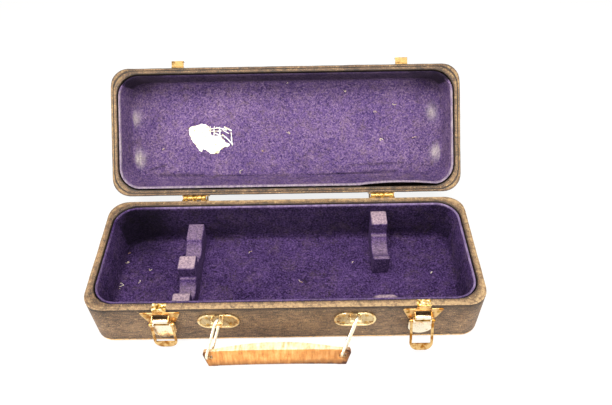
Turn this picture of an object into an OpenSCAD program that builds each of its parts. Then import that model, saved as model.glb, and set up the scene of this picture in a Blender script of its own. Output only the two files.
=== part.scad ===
// Hard case for a wind instrument that comes apart in two joints: a wooden base and lid
// covered in leatherette and lined with velvet, two hinges with stops at the back, two draw
// latches at the front and a leather grip that hangs in two wire rings.
// The origin is the middle of the underside, X runs along the case and the front faces -Y.
// The lid is drawn closed and then turned open about the hinge pins.

/* [Case] */
// Outside length of the case
case_l = 350; // [330:2:380]
// Outside depth from front to back
case_d = 128; // [120:1:140]
// Outside height of the base
base_h = 52; // [49:1:60]
// Outside height of the lid
lid_h = 38; // [32:1:46]
// Thickness of the wooden walls
wall_t = 6; // [5:0.5:8]
// Thickness of the floor of the base
floor_t = 5; // [4:0.5:7]
// Thickness of the top panel of the lid
lid_panel_t = 4; // [3:0.5:6]
// Radius of the upright outside corners
corner_r = 18; // [14:1:22]
// Radius of the upright inside corners, which leaves the corners thicker than the walls
inner_corner_r = 22; // [16:1:26]
// Radius along the long outside edges
edge_r = 4; // [2:0.5:6]
// Height of the bead of covering along each rim
bead_h = 2.5; // [2:0.25:4]
// Width of the crease under the bead
crease_w = 0.9; // [0.5:0.1:1.5]
// Depth of the crease under the bead
crease_d = 0.5; // [0.3:0.1:0.8]
// Gap between the rims when the lid is shut
parting_gap = 0.3; // [0.2:0.05:0.8]
// How far the lid swings open
open_angle = 135; // [115:1:140]

/* [Lining] */
// Thickness of the velvet on its card
lining_t = 2; // [1.5:0.25:3]
// Gap between the card and the wooden wall at the rim
lining_gap = 1; // [0.5:0.25:2]
// How far the lining stays below the rim
lining_drop = 1; // [0.5:0.25:3]
// How far the end walls of the linings lean in at the floor
flare_end = 2; // [1:0.5:6]
// How far the long walls of the base lining lean in at the floor
flare_side = 4; // [2:0.5:6]
// How far the front wall of the lid lining leans in
lid_flare_front = 1; // [0.5:0.5:6]
// How far the wall of the lid lining beside the hinges leans in
lid_flare_back = 11; // [4:1:14]

/* [Cradles] */
// Thickness of the two cross ribs along the case
cradle_t = 16; // [12:1:22]
// Distance from the left end of the case to the middle of the left rib
left_cradle_inset = 82.5; // [70:0.5:95]
// Distance from the right end of the case to the middle of the right rib
right_cradle_inset = 84; // [70:0.5:100]
// Height of the posts above the underside of the case
post_top = 42; // [38:1:46]
// Height of the low web under the joints
web_top = 29; // [24:1:32]
// Place of the front joint's axis across the case
front_axis_y = -27; // [-32:0.5:-24]
// Radius of the front joint's notch
front_notch_r = 13; // [11:0.5:14]
// Height of the front joint's axis
front_axis_z = 36; // [34:0.5:38]
// Place of the rear joint's axis across the case
rear_axis_y = 20; // [18:0.5:22]
// Radius of the rear joint's notch
rear_notch_r = 16; // [14:0.5:18]
// Height of the rear joint's axis
rear_axis_z = 39; // [36:0.5:41]
// Width of the middle post
middle_post_w = 16.5; // [12:0.5:17]
// Length of the rounded rest in front of the right rib
rest_l = 27; // [20:1:34]
// Depth of that rest from its front to its back
rest_w = 11; // [9:1:18]
// How far the middle of the rest is to the left of the right rib's
rest_shift = 2; // [0:0.5:5]
// Height of the rest above the underside of the case
rest_top = 38; // [36:1:44]
// Clearance between the ribs and the leaning walls of the lining
rib_fit = 0.1; // [0.05:0.05:0.4]
// Rounding of the tops of the posts
post_r = 2.5; // [1.5:0.25:4]

/* [Hinges] */
// Distance from the left end of the case to the middle of the left hinge
hinge_left_inset = 82.5; // [60:0.5:95]
// Distance from the right end of the case to the middle of the right hinge
hinge_right_inset = 79.5; // [60:0.5:95]
// Width of a hinge
hinge_w = 25; // [22:0.5:32]
// Height of a leaf from the pin
leaf_h = 18; // [15:0.5:24]
// Thickness of a leaf
leaf_t = 1.2; // [1:0.1:1.4]
// Outside radius of the knuckles
knuckle_r = 2.6; // [2.4:0.1:3.2]
// Radius of the hinge pin
hinge_pin_r = 1.2; // [1:0.1:1.4]
// Number of knuckles
knuckles = 5; // [3:2:7]
// Thickness of the stop ears at the ends of the base leaf
stop_ear_t = 1; // [0.8:0.1:1.4]
// Reach of the stop ears along the open leaf
stop_reach = 9; // [7:0.5:11]

/* [Latches] */
// Distance from the left end of the case to the middle of the left latch
latch_left_inset = 67.5; // [50:0.5:80]
// Distance from the right end of the case to the middle of the right latch
latch_right_inset = 56.5; // [50:0.5:80]
// Width of the latch plate at its top
latch_plate_w = 34.5; // [32:0.5:38]
// Width of the latch plate at its foot
latch_foot_w = 24; // [22:0.5:28]
// Height of the latch plate
latch_plate_h = 14.5; // [13:0.5:17]
// Distance from the rim down to the top of the latch plate
latch_drop = 5; // [4:0.5:6]
// Thickness of the sheet that the plates are stamped from
sheet_t = 1; // [0.8:0.1:1.2]
// Width of the tongue that folds over the rim
tongue_w = 12; // [10:0.5:14]
// Thickness of the tongue where it is let into the rim
tongue_t = 0.8; // [0.6:0.1:1.2]
// Distance from the rim down to the lever pin
lever_pin_drop = 12.5; // [11.5:0.25:13.5]
// Distance of the lever pin out from the case
lever_pin_out = 4.2; // [4:0.1:4.8]
// Radius of the lever pin
lever_pin_r = 1; // [0.8:0.1:1.2]
// Outside radius of the lever's roll
roll_r = 2.2; // [2:0.1:2.4]
// Width of the lever's roll
roll_w = 12.6; // [11:0.2:13]
// Width of the lever's shield
shield_w = 22; // [20:0.5:24]
// Height of the lever's shield
shield_h = 23.5; // [19:0.5:24]
// Distance of the loop pin below the lever pin
loop_pin_drop = 6.5; // [6:0.25:7.5]
// Distance of the loop pin out from the case
loop_pin_out = 3.6; // [3.4:0.1:4]
// Radius of the loop pin
loop_pin_r = 0.8; // [0.6:0.1:1]
// Outside width of the loop
loop_w = 20.6; // [20.6:0.2:24]
// Width of each arm of the loop
arm_w = 2.2; // [1.6:0.1:2.6]
// Thickness of the loop
loop_t = 1.2; // [0.9:0.1:1.4]
// Height of the loop's end bar
loop_bar_h = 6.6; // [5:0.2:8]
// How far the left loop swings out as it hangs
left_loop_tilt = 8; // [2:1:30]
// How far the right loop swings out as it hangs
right_loop_tilt = 27; // [2:1:40]
// Width of the catch on the lid
catch_w = 12; // [10:0.5:14]
// How far the right catch is fixed to the left of the middle of its latch
catch_shift = 1.6; // [0:0.1:2]
// Height of the catch's back plate
catch_h = 12; // [10:0.5:15]
// Reach of the catch's hook out from the lid
hook_out = 7; // [6.5:0.1:8]
// Height of the hook's lip
hook_lip_h = 3.4; // [2.5:0.1:4]

/* [Handle] */
// Distance between the middles of the two handle plates
handle_span = 119; // [110:0.5:136]
// How far the middle between the handle plates is to the right of the middle of the case
handle_shift = 1; // [-2:0.5:2]
// Length of a handle plate
handle_plate_l = 36.6; // [32:0.2:42]
// Height of a handle plate
handle_plate_h = 20; // [18:0.5:23]
// Distance from the rim down to the top of a handle plate
handle_plate_drop = 9; // [8:0.5:13]
// Width of the raised border of a handle plate
border_w = 2; // [1.5:0.1:3]
// Height of the raised border
border_h = 0.6; // [0.4:0.1:0.8]
// Distance from the top of a handle plate down to the ring's pivot
eye_drop = 4; // [4:0.25:6]
// Distance of the ring's pivot out from the case
eye_out = 7.6; // [7.5:0.1:9]
// Radius of the ring's wire
wire_r = 1.2; // [0.9:0.1:1.3]
// Half the width of a ring, middle of wire to middle of wire
ring_half = 5.1; // [5:0.1:6]
// Turn of each ring about its own length
ring_twist = 20; // [0:1:28]
// Distance between the two ring holes of the grip
hole_span = 117; // [112:1:126]
// Sideways shift of the grip as it lies
grip_shift = -8; // [-9:0.5:8]
// Length of the grip along its top edge
grip_l = 129; // [128:1:140]
// How much shorter the grip is along its bottom edge, at each end
grip_slant = 4; // [2:0.2:6]
// Height of the grip at its ends
grip_h = 17.6; // [16.8:0.2:22]
// Rise of the grip's edges in the middle
grip_arch = 1.4; // [0.6:0.2:3]
// Thickness of the grip at its ends
grip_end_t = 4.2; // [3.8:0.1:4.4]
// Length of the thicker middle of the grip
grip_bow_l = 106; // [90:1:108]
// Thickness of the grip in the middle
grip_mid_t = 10; // [8:0.5:13]
// Thickness of the leather on the front and back of the grip
leather_t = 1.2; // [0.8:0.1:1.5]
// Distance of the grip's foot out from the case as it lies
grip_out = 26.5; // [22:0.5:36]
// Lean of the grip towards the case as it lies
grip_lean = 12; // [5:1:20]

/* [Fits] */
// Clearance of a pin in a hole that turns on it
running_fit = 0.08; // [0.04:0.01:0.1]
// Clearance between faces that pass each other
side_fit = 0.3; // [0.2:0.05:0.4]
// Radius of the heads of the tacks
tack_head_r = 1.7; // [1.4:0.1:2]
// Height of the heads of the tacks
tack_head_h = 0.7; // [0.5:0.1:0.9]
// Radius of the shanks of the tacks
tack_r = 0.7; // [0.5:0.1:0.9]
// Length of the shanks of the tacks
tack_l = 4.5; // [3.5:0.25:5]

/* [Hidden] */
$fn = 64;
hull_fn = 32;
cut = 0.05;

leatherette = "#4a3f35";
velvet = "#4b3a86";
worn_velvet = "#8f84bd";
nickel = "#d8cfba";
brass = "#c9a45c";
leather = "#b9733a";
leather_edge = "#e3b98c";

rim_z = base_h;
lid_z = base_h + parting_gap;
front_y = -case_d / 2;
back_y = case_d / 2;

// The lining is a tray whose walls lean in towards its floor.
lining_r = inner_corner_r - lining_gap;
lining_l = case_l - 2 * (wall_t + lining_gap);
lining_d = case_d - 2 * (wall_t + lining_gap);
base_flare = [flare_end, flare_side, flare_side];
lid_flare = [flare_end, lid_flare_front, lid_flare_back];
base_lining_h = base_h - floor_t - lining_drop;
lid_lining_h = lid_h - lid_panel_t - lining_drop;
bay_z = floor_t + lining_t;
function lean_side(z) = flare_side * (rim_z - lining_drop - z) / base_lining_h;
function bay_half_d(z) = lining_d / 2 - lining_t - lean_side(z) - rib_fit;

left_cradle_x = -case_l / 2 + left_cradle_inset;
right_cradle_x = case_l / 2 - right_cradle_inset;

// The hinge axis lies just behind the back of the case, level with the parting line.
hinge_x = [-case_l / 2 + hinge_left_inset, case_l / 2 - hinge_right_inset];
hinge_y = back_y + knuckle_r + side_fit;
hinge_z = base_h + parting_gap / 2;
leaf_in = back_y - hinge_y;
leaf_out = leaf_in + leaf_t;
knuckle_span = hinge_w - 2 * (stop_ear_t + side_fit);
knuckle_w = knuckle_span / knuckles;
leaf_tacks = [[-7.5, -8], [7.5, -8], [0, -13.5]];

latch_x = [-case_l / 2 + latch_left_inset, case_l / 2 - latch_right_inset];
catch_x = [latch_x[0], latch_x[1] - catch_shift];
latch_top_z = rim_z - latch_drop;
lever_pin_z = rim_z - lever_pin_drop;
loop_pin_z = lever_pin_z - loop_pin_drop;
ear_in = roll_w / 2 + side_fit;
ear_r = roll_r + 0.3;
flange_out = loop_w / 2 - arm_w - side_fit;
eye_r = loop_pin_r + 1.1;
shield_back = sheet_t + 0.6;
shield_top_z = lever_pin_z - ear_r - 1.5;
latch_tack_x = 13.2;
latch_tack_z = latch_top_z - 4.6;
hook_foot_z = lid_z + 2 + sheet_t;
loop_reach = hook_foot_z + 0.15 - loop_pin_z;
catch_tack_z = lid_z + 9;
loop_tilt = [left_loop_tilt, right_loop_tilt];

handle_plate_z = rim_z - handle_plate_drop - handle_plate_h / 2;
eye_z = rim_z - handle_plate_drop - eye_drop;
staple_h = 4.4;
staple_t = 1.3;
staple_in = 3.9;
handle_tack_x = 10;
handle_tack_z = 5.2;

// The grip stands on its lower back edge, and each ring runs from the eye of its handle plate
// to the bar of leather between a ring hole and the top edge of the grip. The holes are a
// little to the left of the bars' middles, because both rings lean to the left.
grip_z = grip_end_t * sin(grip_lean);
bar_h = 4.4;
bar_y = grip_h - bar_h / 2;
hole_h = 2 * wire_r + 2.2;
hole_w = 2 * wire_r + 4;
hole_shift = -0.8;
hole_y = grip_h - bar_h - hole_h / 2;
bar_out = grip_out - bar_y * sin(grip_lean) - grip_end_t / 2 * cos(grip_lean);
bar_z = grip_z + bar_y * cos(grip_lean) - grip_end_t / 2 * sin(grip_lean);
ring_drop = [bar_out - eye_out, eye_z - bar_z];
ring_swing = atan2(ring_drop[0], ring_drop[1]);

function plate_x(s) = handle_shift + s * handle_span / 2;
function ring_side(s) = grip_shift + s * hole_span / 2 - plate_x(s);
function ring_length(s) = norm([ring_side(s), ring_drop[0], ring_drop[1]]);
function ring_lean(s) = asin(ring_side(s) / ring_length(s));
function bow_r(span, rise) = (span * span / 4 + rise * rise) / (2 * rise);

// Front hardware is drawn with x along the case, y up and z out of the front.
module on_front(x) { translate([x, front_y, 0]) rotate([90, 0, 0]) children(); }

// Hinge parts are drawn about the hinge pin, in the position of the shut lid.
module at_hinge(x) { translate([x, hinge_y, hinge_z]) children(); }

module opened() {
    translate([0, hinge_y, hinge_z]) rotate([-open_angle, 0, 0])
        translate([0, -hinge_y, -hinge_z]) children();
}

module rounded_rect(l, d, r) {
    square([l - 2 * r, d], center = true);
    square([l, d - 2 * r], center = true);
    for (sx = [-1, 1], sy = [-1, 1])
        translate([sx * (l / 2 - r), sy * (d / 2 - r)]) circle(r);
}

module edge_profile(w, h) {
    translate([-w / 2, edge_r]) square([w, h - edge_r]);
    translate([-w / 2 + edge_r, 0]) square([w - 2 * edge_r, edge_r]);
    for (s = [-1, 1]) translate([s * (w / 2 - edge_r), edge_r]) circle(edge_r);
}

// A block with round upright corners and a round edge along its foot
module case_block(h) {
    rotate([90, 0, 90]) linear_extrude(case_l - 2 * corner_r, center = true)
        edge_profile(case_d, h);
    rotate([90, 0, 0]) linear_extrude(case_d - 2 * corner_r, center = true)
        edge_profile(case_l, h);
    for (sx = [-1, 1], sy = [-1, 1])
        translate([sx * (case_l / 2 - corner_r), sy * (case_d / 2 - corner_r), 0])
            rotate_extrude() intersection() {
                edge_profile(2 * corner_r, h);
                square([corner_r, h]);
            }
}

// A band round the outside of the case, cut away to leave the crease under a bead
module crease_band(z) {
    translate([0, 0, z]) linear_extrude(crease_w) difference() {
        rounded_rect(case_l + 2, case_d + 2, corner_r + 1);
        rounded_rect(case_l - 2 * crease_d, case_d - 2 * crease_d, corner_r - crease_d);
    }
}

module cavity(h) {
    linear_extrude(h + cut)
        rounded_rect(case_l - 2 * wall_t, case_d - 2 * wall_t, inner_corner_r);
}

// The walls lean in by flare at the floor: at both ends, at the front and at the back.
module lining_solid(h, inset, z0, flare) {
    z1 = h + (inset > 0 ? cut : 0);
    lean = flare * (h - z0) / h;
    hull() {
        translate([0, (lean[1] - lean[2]) / 2, z0]) linear_extrude(cut / 5)
            rounded_rect(lining_l - 2 * inset - 2 * lean[0],
                lining_d - 2 * inset - lean[1] - lean[2], lining_r - inset, $fn = hull_fn);
        translate([0, 0, z1 - cut / 5]) linear_extrude(cut / 5)
            rounded_rect(lining_l - 2 * inset, lining_d - 2 * inset, lining_r - inset,
                $fn = hull_fn);
    }
}

// A tray of velvet on card that stands h high on the wooden panel
module lining_tray(h, flare) {
    difference() {
        lining_solid(h, 0, 0, flare);
        lining_solid(h, lining_t, lining_t, flare);
    }
}

// A round-headed tack whose head sits on z = 0 and whose shank points down
module tack() {
    rotate_extrude() intersection() {
        head_sphere_r = (tack_head_r * tack_head_r + tack_head_h * tack_head_h)
            / (2 * tack_head_h);
        translate([0, tack_head_h - head_sphere_r]) circle(head_sphere_r);
        square([tack_head_r, tack_head_h]);
    }
    tack_shank();
}

module tack_shank() { translate([0, 0, -tack_l]) cylinder(r = tack_r, h = tack_l); }

// Places of the tacks, each drawn with its head on the outside of the sheet
module at_latch_tacks() {
    for (x = latch_x, s = [-1, 1])
        on_front(x) translate([s * latch_tack_x, latch_tack_z, sheet_t]) children();
}

module at_handle_tacks() {
    for (p = [-1, 1], sx = [-1, 1], sy = [-1, 1])
        on_front(plate_x(p))
            translate([sx * handle_tack_x, handle_plate_z + sy * handle_tack_z, sheet_t])
                children();
}

module at_catch_tacks() {
    for (x = catch_x, s = [-1, 1])
        on_front(x) translate([s * catch_w / 4, catch_tack_z, sheet_t]) children();
}

// side is 1 for the base leaf and -1 for the lid leaf
module at_leaf_tacks(side) {
    for (x = hinge_x, t = leaf_tacks)
        at_hinge(x) translate([t[0], leaf_out, side * t[1]]) rotate([-90, 0, 0]) children();
}

module tongue_recess(x) {
    translate([x - tongue_w / 2, front_y - cut, rim_z - tongue_t])
        cube([tongue_w, wall_t + 2 * cut, tongue_t + cut]);
}

module base_shell() {
    color(leatherette) difference() {
        case_block(base_h);
        translate([0, 0, floor_t]) cavity(base_h - floor_t);
        crease_band(rim_z - bead_h - crease_w);
        for (x = latch_x) tongue_recess(x);
        at_latch_tacks() tack_shank();
        at_handle_tacks() tack_shank();
        at_leaf_tacks(1) tack_shank();
    }
}

module base_lining() {
    color(velvet) translate([0, 0, floor_t]) lining_tray(base_lining_h, base_flare);
}

// A post with a rounded top, in the plane across the case
module post_outline(y0, y1, top) {
    translate([y0, bay_z]) square([y1 - y0, top - post_r - bay_z]);
    translate([y0 + post_r, bay_z]) square([y1 - y0 - 2 * post_r, top - bay_z]);
    for (y = [y0 + post_r, y1 - post_r]) translate([y, top - post_r]) circle(post_r);
}

// The room between the leaning walls of the lining, in the plane across the case
module bay_outline() {
    polygon([
        [-bay_half_d(bay_z), bay_z], [bay_half_d(bay_z), bay_z],
        [bay_half_d(rim_z), rim_z], [-bay_half_d(rim_z), rim_z]
    ]);
}

module cradle(x) {
    translate([x, 0, 0]) rotate([90, 0, 90]) linear_extrude(cradle_t, center = true)
        intersection() {
            children();
            bay_outline();
        }
}

// The left rib holds both joints: a post at each side of the front one, a saddle for the rear.
module left_cradle() {
    notch_y = [front_axis_y - front_notch_r, front_axis_y + front_notch_r];
    color(worn_velvet) cradle(left_cradle_x) difference() {
        union() {
            post_outline(-case_d / 2, notch_y[0], post_top);
            post_outline(notch_y[1], notch_y[1] + middle_post_w, post_top);
            translate([-case_d / 2, bay_z]) square([case_d, web_top - bay_z]);
        }
        translate([front_axis_y, front_axis_z]) circle(front_notch_r);
        translate([rear_axis_y, rear_axis_z]) circle(rear_notch_r);
    }
}

// The right rib holds the rear joint against the back wall.
module right_cradle() {
    color(worn_velvet) cradle(right_cradle_x) difference() {
        union() {
            post_outline(rear_axis_y + rear_notch_r, case_d / 2, post_top + 1);
            translate([rear_axis_y - rear_notch_r, bay_z])
                square([case_d / 2, web_top - bay_z]);
        }
        translate([rear_axis_y, rear_axis_z]) circle(rear_notch_r);
    }
}

// A loaf-shaped rest at the front wall, cut off where the lining leans
module front_rest() {
    loaf_r = rest_l / 3;
    x = right_cradle_x - rest_shift;
    rest_y = -bay_half_d(rest_top);
    color(worn_velvet) intersection() {
        translate([x, rest_y + rest_w, 0]) rotate([90, 0, 0])
            linear_extrude(case_d / 2) union() {
                translate([-rest_l / 2, bay_z]) square([rest_l, rest_top - loaf_r - bay_z]);
                translate([-rest_l / 2 + loaf_r, bay_z])
                    square([rest_l - 2 * loaf_r, rest_top - bay_z]);
                for (s = [-1, 1])
                    translate([s * (rest_l / 2 - loaf_r), rest_top - loaf_r]) circle(loaf_r);
            }
        translate([x, 0, 0]) rotate([90, 0, 90])
            linear_extrude(rest_l + 2, center = true) bay_outline();
    }
}

module x_pin(r, l) { rotate([0, 90, 0]) cylinder(r = r, h = l, center = true); }

// The plate tapers to its foot, carries two ears for the lever pin and is open between them,
// and its tongue runs up the front and folds over the rim.
module latch_plate(x) {
    r = 1.2;
    color(nickel) difference() {
        union() {
            on_front(x) linear_extrude(sheet_t) hull() {
                for (s = [-1, 1]) {
                    translate([s * (latch_plate_w / 2 - r), latch_top_z - r])
                        circle(r, $fn = hull_fn);
                    translate([s * (latch_foot_w / 2 - r), latch_top_z - latch_plate_h + r])
                        circle(r, $fn = hull_fn);
                }
            }
            on_front(x) translate([-tongue_w / 2, latch_top_z - 2, 0])
                cube([tongue_w, rim_z - latch_top_z + 2, sheet_t]);
            translate([x - tongue_w / 2, front_y - sheet_t, rim_z - tongue_t])
                cube([tongue_w, sheet_t + wall_t, tongue_t]);
            for (s = [-1, 1])
                on_front(x) translate([s * (ear_in + sheet_t / 2), lever_pin_z, 0])
                    rotate([0, -90, 0]) linear_extrude(sheet_t, center = true) {
                        translate([lever_pin_out, 0]) circle(ear_r);
                        polygon([[0, -ear_r - 1.5], [0, ear_r + 1.5],
                            [lever_pin_out, ear_r], [lever_pin_out, -ear_r]]);
                    }
        }
        on_front(x) translate([-ear_in, lever_pin_z - ear_r - 1, -cut])
            cube([2 * ear_in, 2 * ear_r + 3, sheet_t + 2 * cut]);
        on_front(x) translate([0, lever_pin_z, lever_pin_out]) x_pin(lever_pin_r, loop_w);
        at_latch_tacks() tack_shank();
    }
}

module lever_pin(x) {
    color(brass) on_front(x) translate([0, lever_pin_z, lever_pin_out])
        x_pin(lever_pin_r, 2 * flange_out);
}

// The shield is narrow beside the eyes of the loop and full width below them.
module shield_outline() {
    round_z = shield_top_z - shield_h + shield_w / 2;
    translate([-roll_w / 2, shield_top_z - 1]) square([roll_w, lever_pin_z - shield_top_z + 1]);
    translate([-flange_out, round_z]) square([2 * flange_out, shield_top_z - round_z]);
    translate([-shield_w / 2, round_z]) square([shield_w, loop_pin_z - eye_r - side_fit - round_z]);
    translate([0, round_z]) circle(shield_w / 2);
}

// The lever: a roll on the lever pin, a shield that lies down the front, and a flange at each
// side that carries the loop pin.
module latch_lever(x) {
    color(nickel) on_front(x) difference() {
        union() {
            translate([0, lever_pin_z, lever_pin_out]) x_pin(roll_r, roll_w);
            translate([0, 0, shield_back]) linear_extrude(sheet_t) shield_outline();
            for (s = [-1, 1])
                translate([s * (flange_out - sheet_t / 2), loop_pin_z, 0]) rotate([0, -90, 0])
                    linear_extrude(sheet_t, center = true) {
                        translate([loop_pin_out, 0]) circle(loop_pin_r + 1);
                        translate([shield_back, -loop_pin_r - 1])
                            square([loop_pin_out - shield_back, 2 * loop_pin_r + 2]);
                    }
        }
        translate([0, lever_pin_z, lever_pin_out])
            x_pin(lever_pin_r + running_fit, roll_w + 1);
        translate([0, loop_pin_z, loop_pin_out]) x_pin(loop_pin_r, loop_w + 2);
    }
}

module loop_pin(x) {
    head_t = 0.6;
    color(brass) on_front(x) translate([0, loop_pin_z, loop_pin_out]) {
        x_pin(loop_pin_r, loop_w + 2 * side_fit);
        for (s = [-1, 1])
            translate([s * (loop_w / 2 + side_fit / 2 + head_t / 2), 0, 0])
                x_pin(loop_pin_r + 0.5, head_t);
    }
}

// The loop is drawn about its own pin, hanging straight down, and then tilted out.
module latch_loop(x, tilt) {
    bar_y = -loop_reach - loop_bar_h;
    bend_r = loop_bar_h + 1;
    inner_half = loop_w / 2 - arm_w;
    color(nickel) on_front(x) translate([0, loop_pin_z, loop_pin_out]) rotate([-tilt, 0, 0])
        difference() {
            union() {
                translate([0, 0, -loop_t / 2]) linear_extrude(loop_t) {
                    difference() {
                        union() {
                            translate([-loop_w / 2, bar_y + bend_r])
                                square([loop_w, -bar_y - bend_r]);
                            translate([-loop_w / 2 + bend_r, bar_y])
                                square([loop_w - 2 * bend_r, bend_r + 1]);
                            for (s = [-1, 1])
                                translate([s * (loop_w / 2 - bend_r), bar_y + bend_r])
                                    circle(bend_r);
                        }
                        translate([-inner_half, -loop_reach]) square([2 * inner_half, 40]);
                    }
                }
                for (s = [-1, 1])
                    translate([s * (loop_w / 2 - arm_w / 2), 0, 0])
                        x_pin(eye_r, arm_w);
                translate([0, bar_y + 0.8, -loop_t / 2])
                    x_pin(0.9, loop_w - 2 * bend_r);
            }
            x_pin(loop_pin_r + running_fit, loop_w + 1);
        }
}

// The catch: a back plate on the lid, a foot that stands out and a lip turned up at its end
module catch(x) {
    color(nickel) opened() on_front(x) difference() {
        translate([-catch_w / 2, 0, 0]) union() {
            translate([0, lid_z + 1, 0]) cube([catch_w, catch_h, sheet_t]);
            translate([0, hook_foot_z - sheet_t, 0]) cube([catch_w, sheet_t, hook_out]);
            translate([0, hook_foot_z - sheet_t, hook_out - sheet_t])
                cube([catch_w, hook_lip_h + sheet_t, sheet_t]);
        }
        for (s = [-1, 1])
            translate([s * catch_w / 4, catch_tack_z, sheet_t]) tack_shank();
    }
}

module handle_outline(inset) {
    r = handle_plate_h / 2 - inset;
    square([handle_plate_l - handle_plate_h, 2 * r], center = true);
    for (s = [-1, 1]) translate([s * (handle_plate_l - handle_plate_h) / 2, 0]) circle(r);
}

// A stadium-shaped plate with a raised border, a notch in its top edge and a staple that
// stands out in front of the notch for the ring to hang in
module handle_plate(side) {
    notch_w = 2 * wire_r + 1.6;
    color(nickel) on_front(plate_x(side)) difference() {
        union() {
            translate([0, handle_plate_z, 0]) {
                linear_extrude(sheet_t) handle_outline(0);
                linear_extrude(sheet_t + border_h) difference() {
                    handle_outline(0);
                    handle_outline(border_w);
                }
            }
            translate([0, eye_z, 0]) rotate([-90, 0, 0])
                linear_extrude(staple_h, center = true) staple_outline();
        }
        translate([-notch_w / 2, eye_z + staple_h / 2, -cut]) cube([notch_w, 10, 4]);
        for (sx = [-1, 1], sy = [-1, 1])
            translate([sx * handle_tack_x, handle_plate_z + sy * handle_tack_z, sheet_t])
                tack_shank();
    }
}

// The staple seen from above: two legs and a bar with round shoulders
module staple_outline() {
    out = eye_out + staple_t / 2;
    half = staple_in + staple_t;
    difference() {
        union() {
            translate([-half, -out + staple_t]) square([2 * half, out - staple_t]);
            translate([-half + staple_t, -out]) square([2 * half - 2 * staple_t, out]);
            for (s = [-1, 1])
                translate([s * (half - staple_t), -out + staple_t]) circle(staple_t);
        }
        translate([-staple_in, -out + staple_t]) square([2 * staple_in, out]);
    }
}

// A long link of round wire, drawn hanging from its upper end and then swung out
module handle_ring(side) {
    l = ring_length(side);
    color(nickel) on_front(plate_x(side)) translate([0, eye_z, eye_out])
        rotate([-ring_swing, 0, 0]) rotate([0, 0, ring_lean(side)]) rotate([0, -ring_twist, 0]) {
            for (s = [-1, 1])
                translate([0, 0, s * ring_half]) rotate([90, 0, 0])
                    cylinder(r = wire_r, h = l);
            rotate([0, -90, 0]) rotate_extrude(angle = 180)
                translate([ring_half, 0]) circle(wire_r);
            translate([0, -l, 0]) rotate([0, -90, 0]) rotate([0, 0, 180])
                rotate_extrude(angle = 180) translate([ring_half, 0]) circle(wire_r);
        }
}

// The grip is drawn with x along it, y up its face and z out of its face.
module grip_frame() {
    translate([grip_shift, front_y - grip_out, grip_z]) rotate([90 - grip_lean, 0, 0]) children();
}

// The face of the grip: slanted ends and long edges that rise in the middle
module grip_face() {
    half_top = grip_l / 2;
    half_foot = half_top - grip_slant;
    top_r = bow_r(grip_l, grip_arch);
    foot_r = bow_r(2 * half_foot, grip_arch);
    difference() {
        intersection() {
            polygon([[-half_foot, 0], [half_foot, 0], [half_top, grip_h - 3],
                [half_top - 2, grip_h + 2 * grip_arch], [-half_top + 2, grip_h + 2 * grip_arch],
                [-half_top, grip_h - 3]]);
            translate([0, grip_h + grip_arch - top_r]) circle(top_r, $fn = 360);
        }
        translate([0, grip_arch - foot_r]) circle(foot_r, $fn = 360);
        for (s = [-1, 1])
            translate([s * hole_span / 2 + hole_shift, hole_y])
                square([hole_w, hole_h], center = true);
    }
}

// A band of the grip seen from above, between two depths behind its face
module grip_band(from, to) { translate([-grip_l, -to]) square([2 * grip_l, to - from]); }

// The grip seen from above, flat at the ring holes and bowed between them, less a layer of
// its back
module grip_plan(layer) {
    r = bow_r(grip_bow_l, grip_mid_t - grip_end_t);
    grip_band(0, grip_end_t - layer);
    intersection() {
        grip_band(0, grip_mid_t);
        translate([0, layer - grip_mid_t + r]) circle(r, $fn = 360);
    }
}

// A layer of the grip: the shape of its face, cut to a plan seen from above
module grip_layer() {
    grip_frame() intersection() {
        linear_extrude(3 * grip_mid_t, center = true) grip_face();
        rotate([90, 0, 0]) linear_extrude(3 * grip_h, center = true) children();
    }
}

module grip_front() { color(leather) grip_layer() grip_band(0, leather_t); }

module grip_core() {
    color(leather_edge) grip_layer() difference() {
        grip_plan(leather_t);
        grip_band(-1, leather_t);
    }
}

module grip_back() {
    color(leather) grip_layer() difference() {
        grip_plan(0);
        grip_plan(leather_t);
        grip_band(-1, leather_t);
    }
}

// Middle of the knuckle with number i, counted from the left
function knuckle_x(i) = -knuckle_span / 2 + (i + 0.5) * knuckle_w;

// A leaf is drawn pointing down from the pin for the base; the lid's is turned over. The base
// (owner 0) has the even knuckles and the stop ears, the lid (owner 1) the odd knuckles.
module hinge_leaf(owner) {
    bore = hinge_pin_r + (owner == 1 ? running_fit : 0);
    difference() {
        union() {
            translate([-hinge_w / 2, leaf_in, -leaf_h]) cube([hinge_w, leaf_t, leaf_h]);
            for (i = [owner : 2 : knuckles - 1])
                translate([knuckle_x(i), 0, 0]) x_pin(knuckle_r, knuckle_w - side_fit);
            if (owner == 0)
                for (s = [-1, 1]) translate([s * (hinge_w - stop_ear_t) / 2, 0, 0]) stop_ear();
        }
        for (i = [1 - owner : 2 : knuckles - 1])
            translate([knuckle_x(i) - (knuckle_w + side_fit) / 2, -10, -knuckle_r - side_fit])
                cube([knuckle_w + side_fit, 20, 20]);
        for (s = [-1, 1])
            translate([s * (knuckle_span + side_fit + 10) / 2, leaf_in, 10 - parting_gap])
                cube([10 - cut, 2 * leaf_t + cut, 20], center = true);
        x_pin(bore, hinge_w + 1);
        for (t = leaf_tacks) translate([t[0], leaf_out, t[1]]) rotate([-90, 0, 0]) tack_shank();
    }
}

// The ear stands behind the base leaf, and its sloped edge stops the open lid leaf.
module stop_ear() {
    across = [cos(open_angle), -sin(open_angle)];
    along = [sin(open_angle), cos(open_angle)];
    rest = (leaf_out + running_fit) * across;
    rotate([90, 0, 90]) linear_extrude(stop_ear_t, center = true)
        polygon([[leaf_out - cut, -knuckle_r - side_fit], [leaf_out - cut, -leaf_h + 4],
            rest + stop_reach * along, rest + (knuckle_r + 1.5) * along]);
}

module base_leaf(x) { color(brass) at_hinge(x) hinge_leaf(0); }

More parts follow.
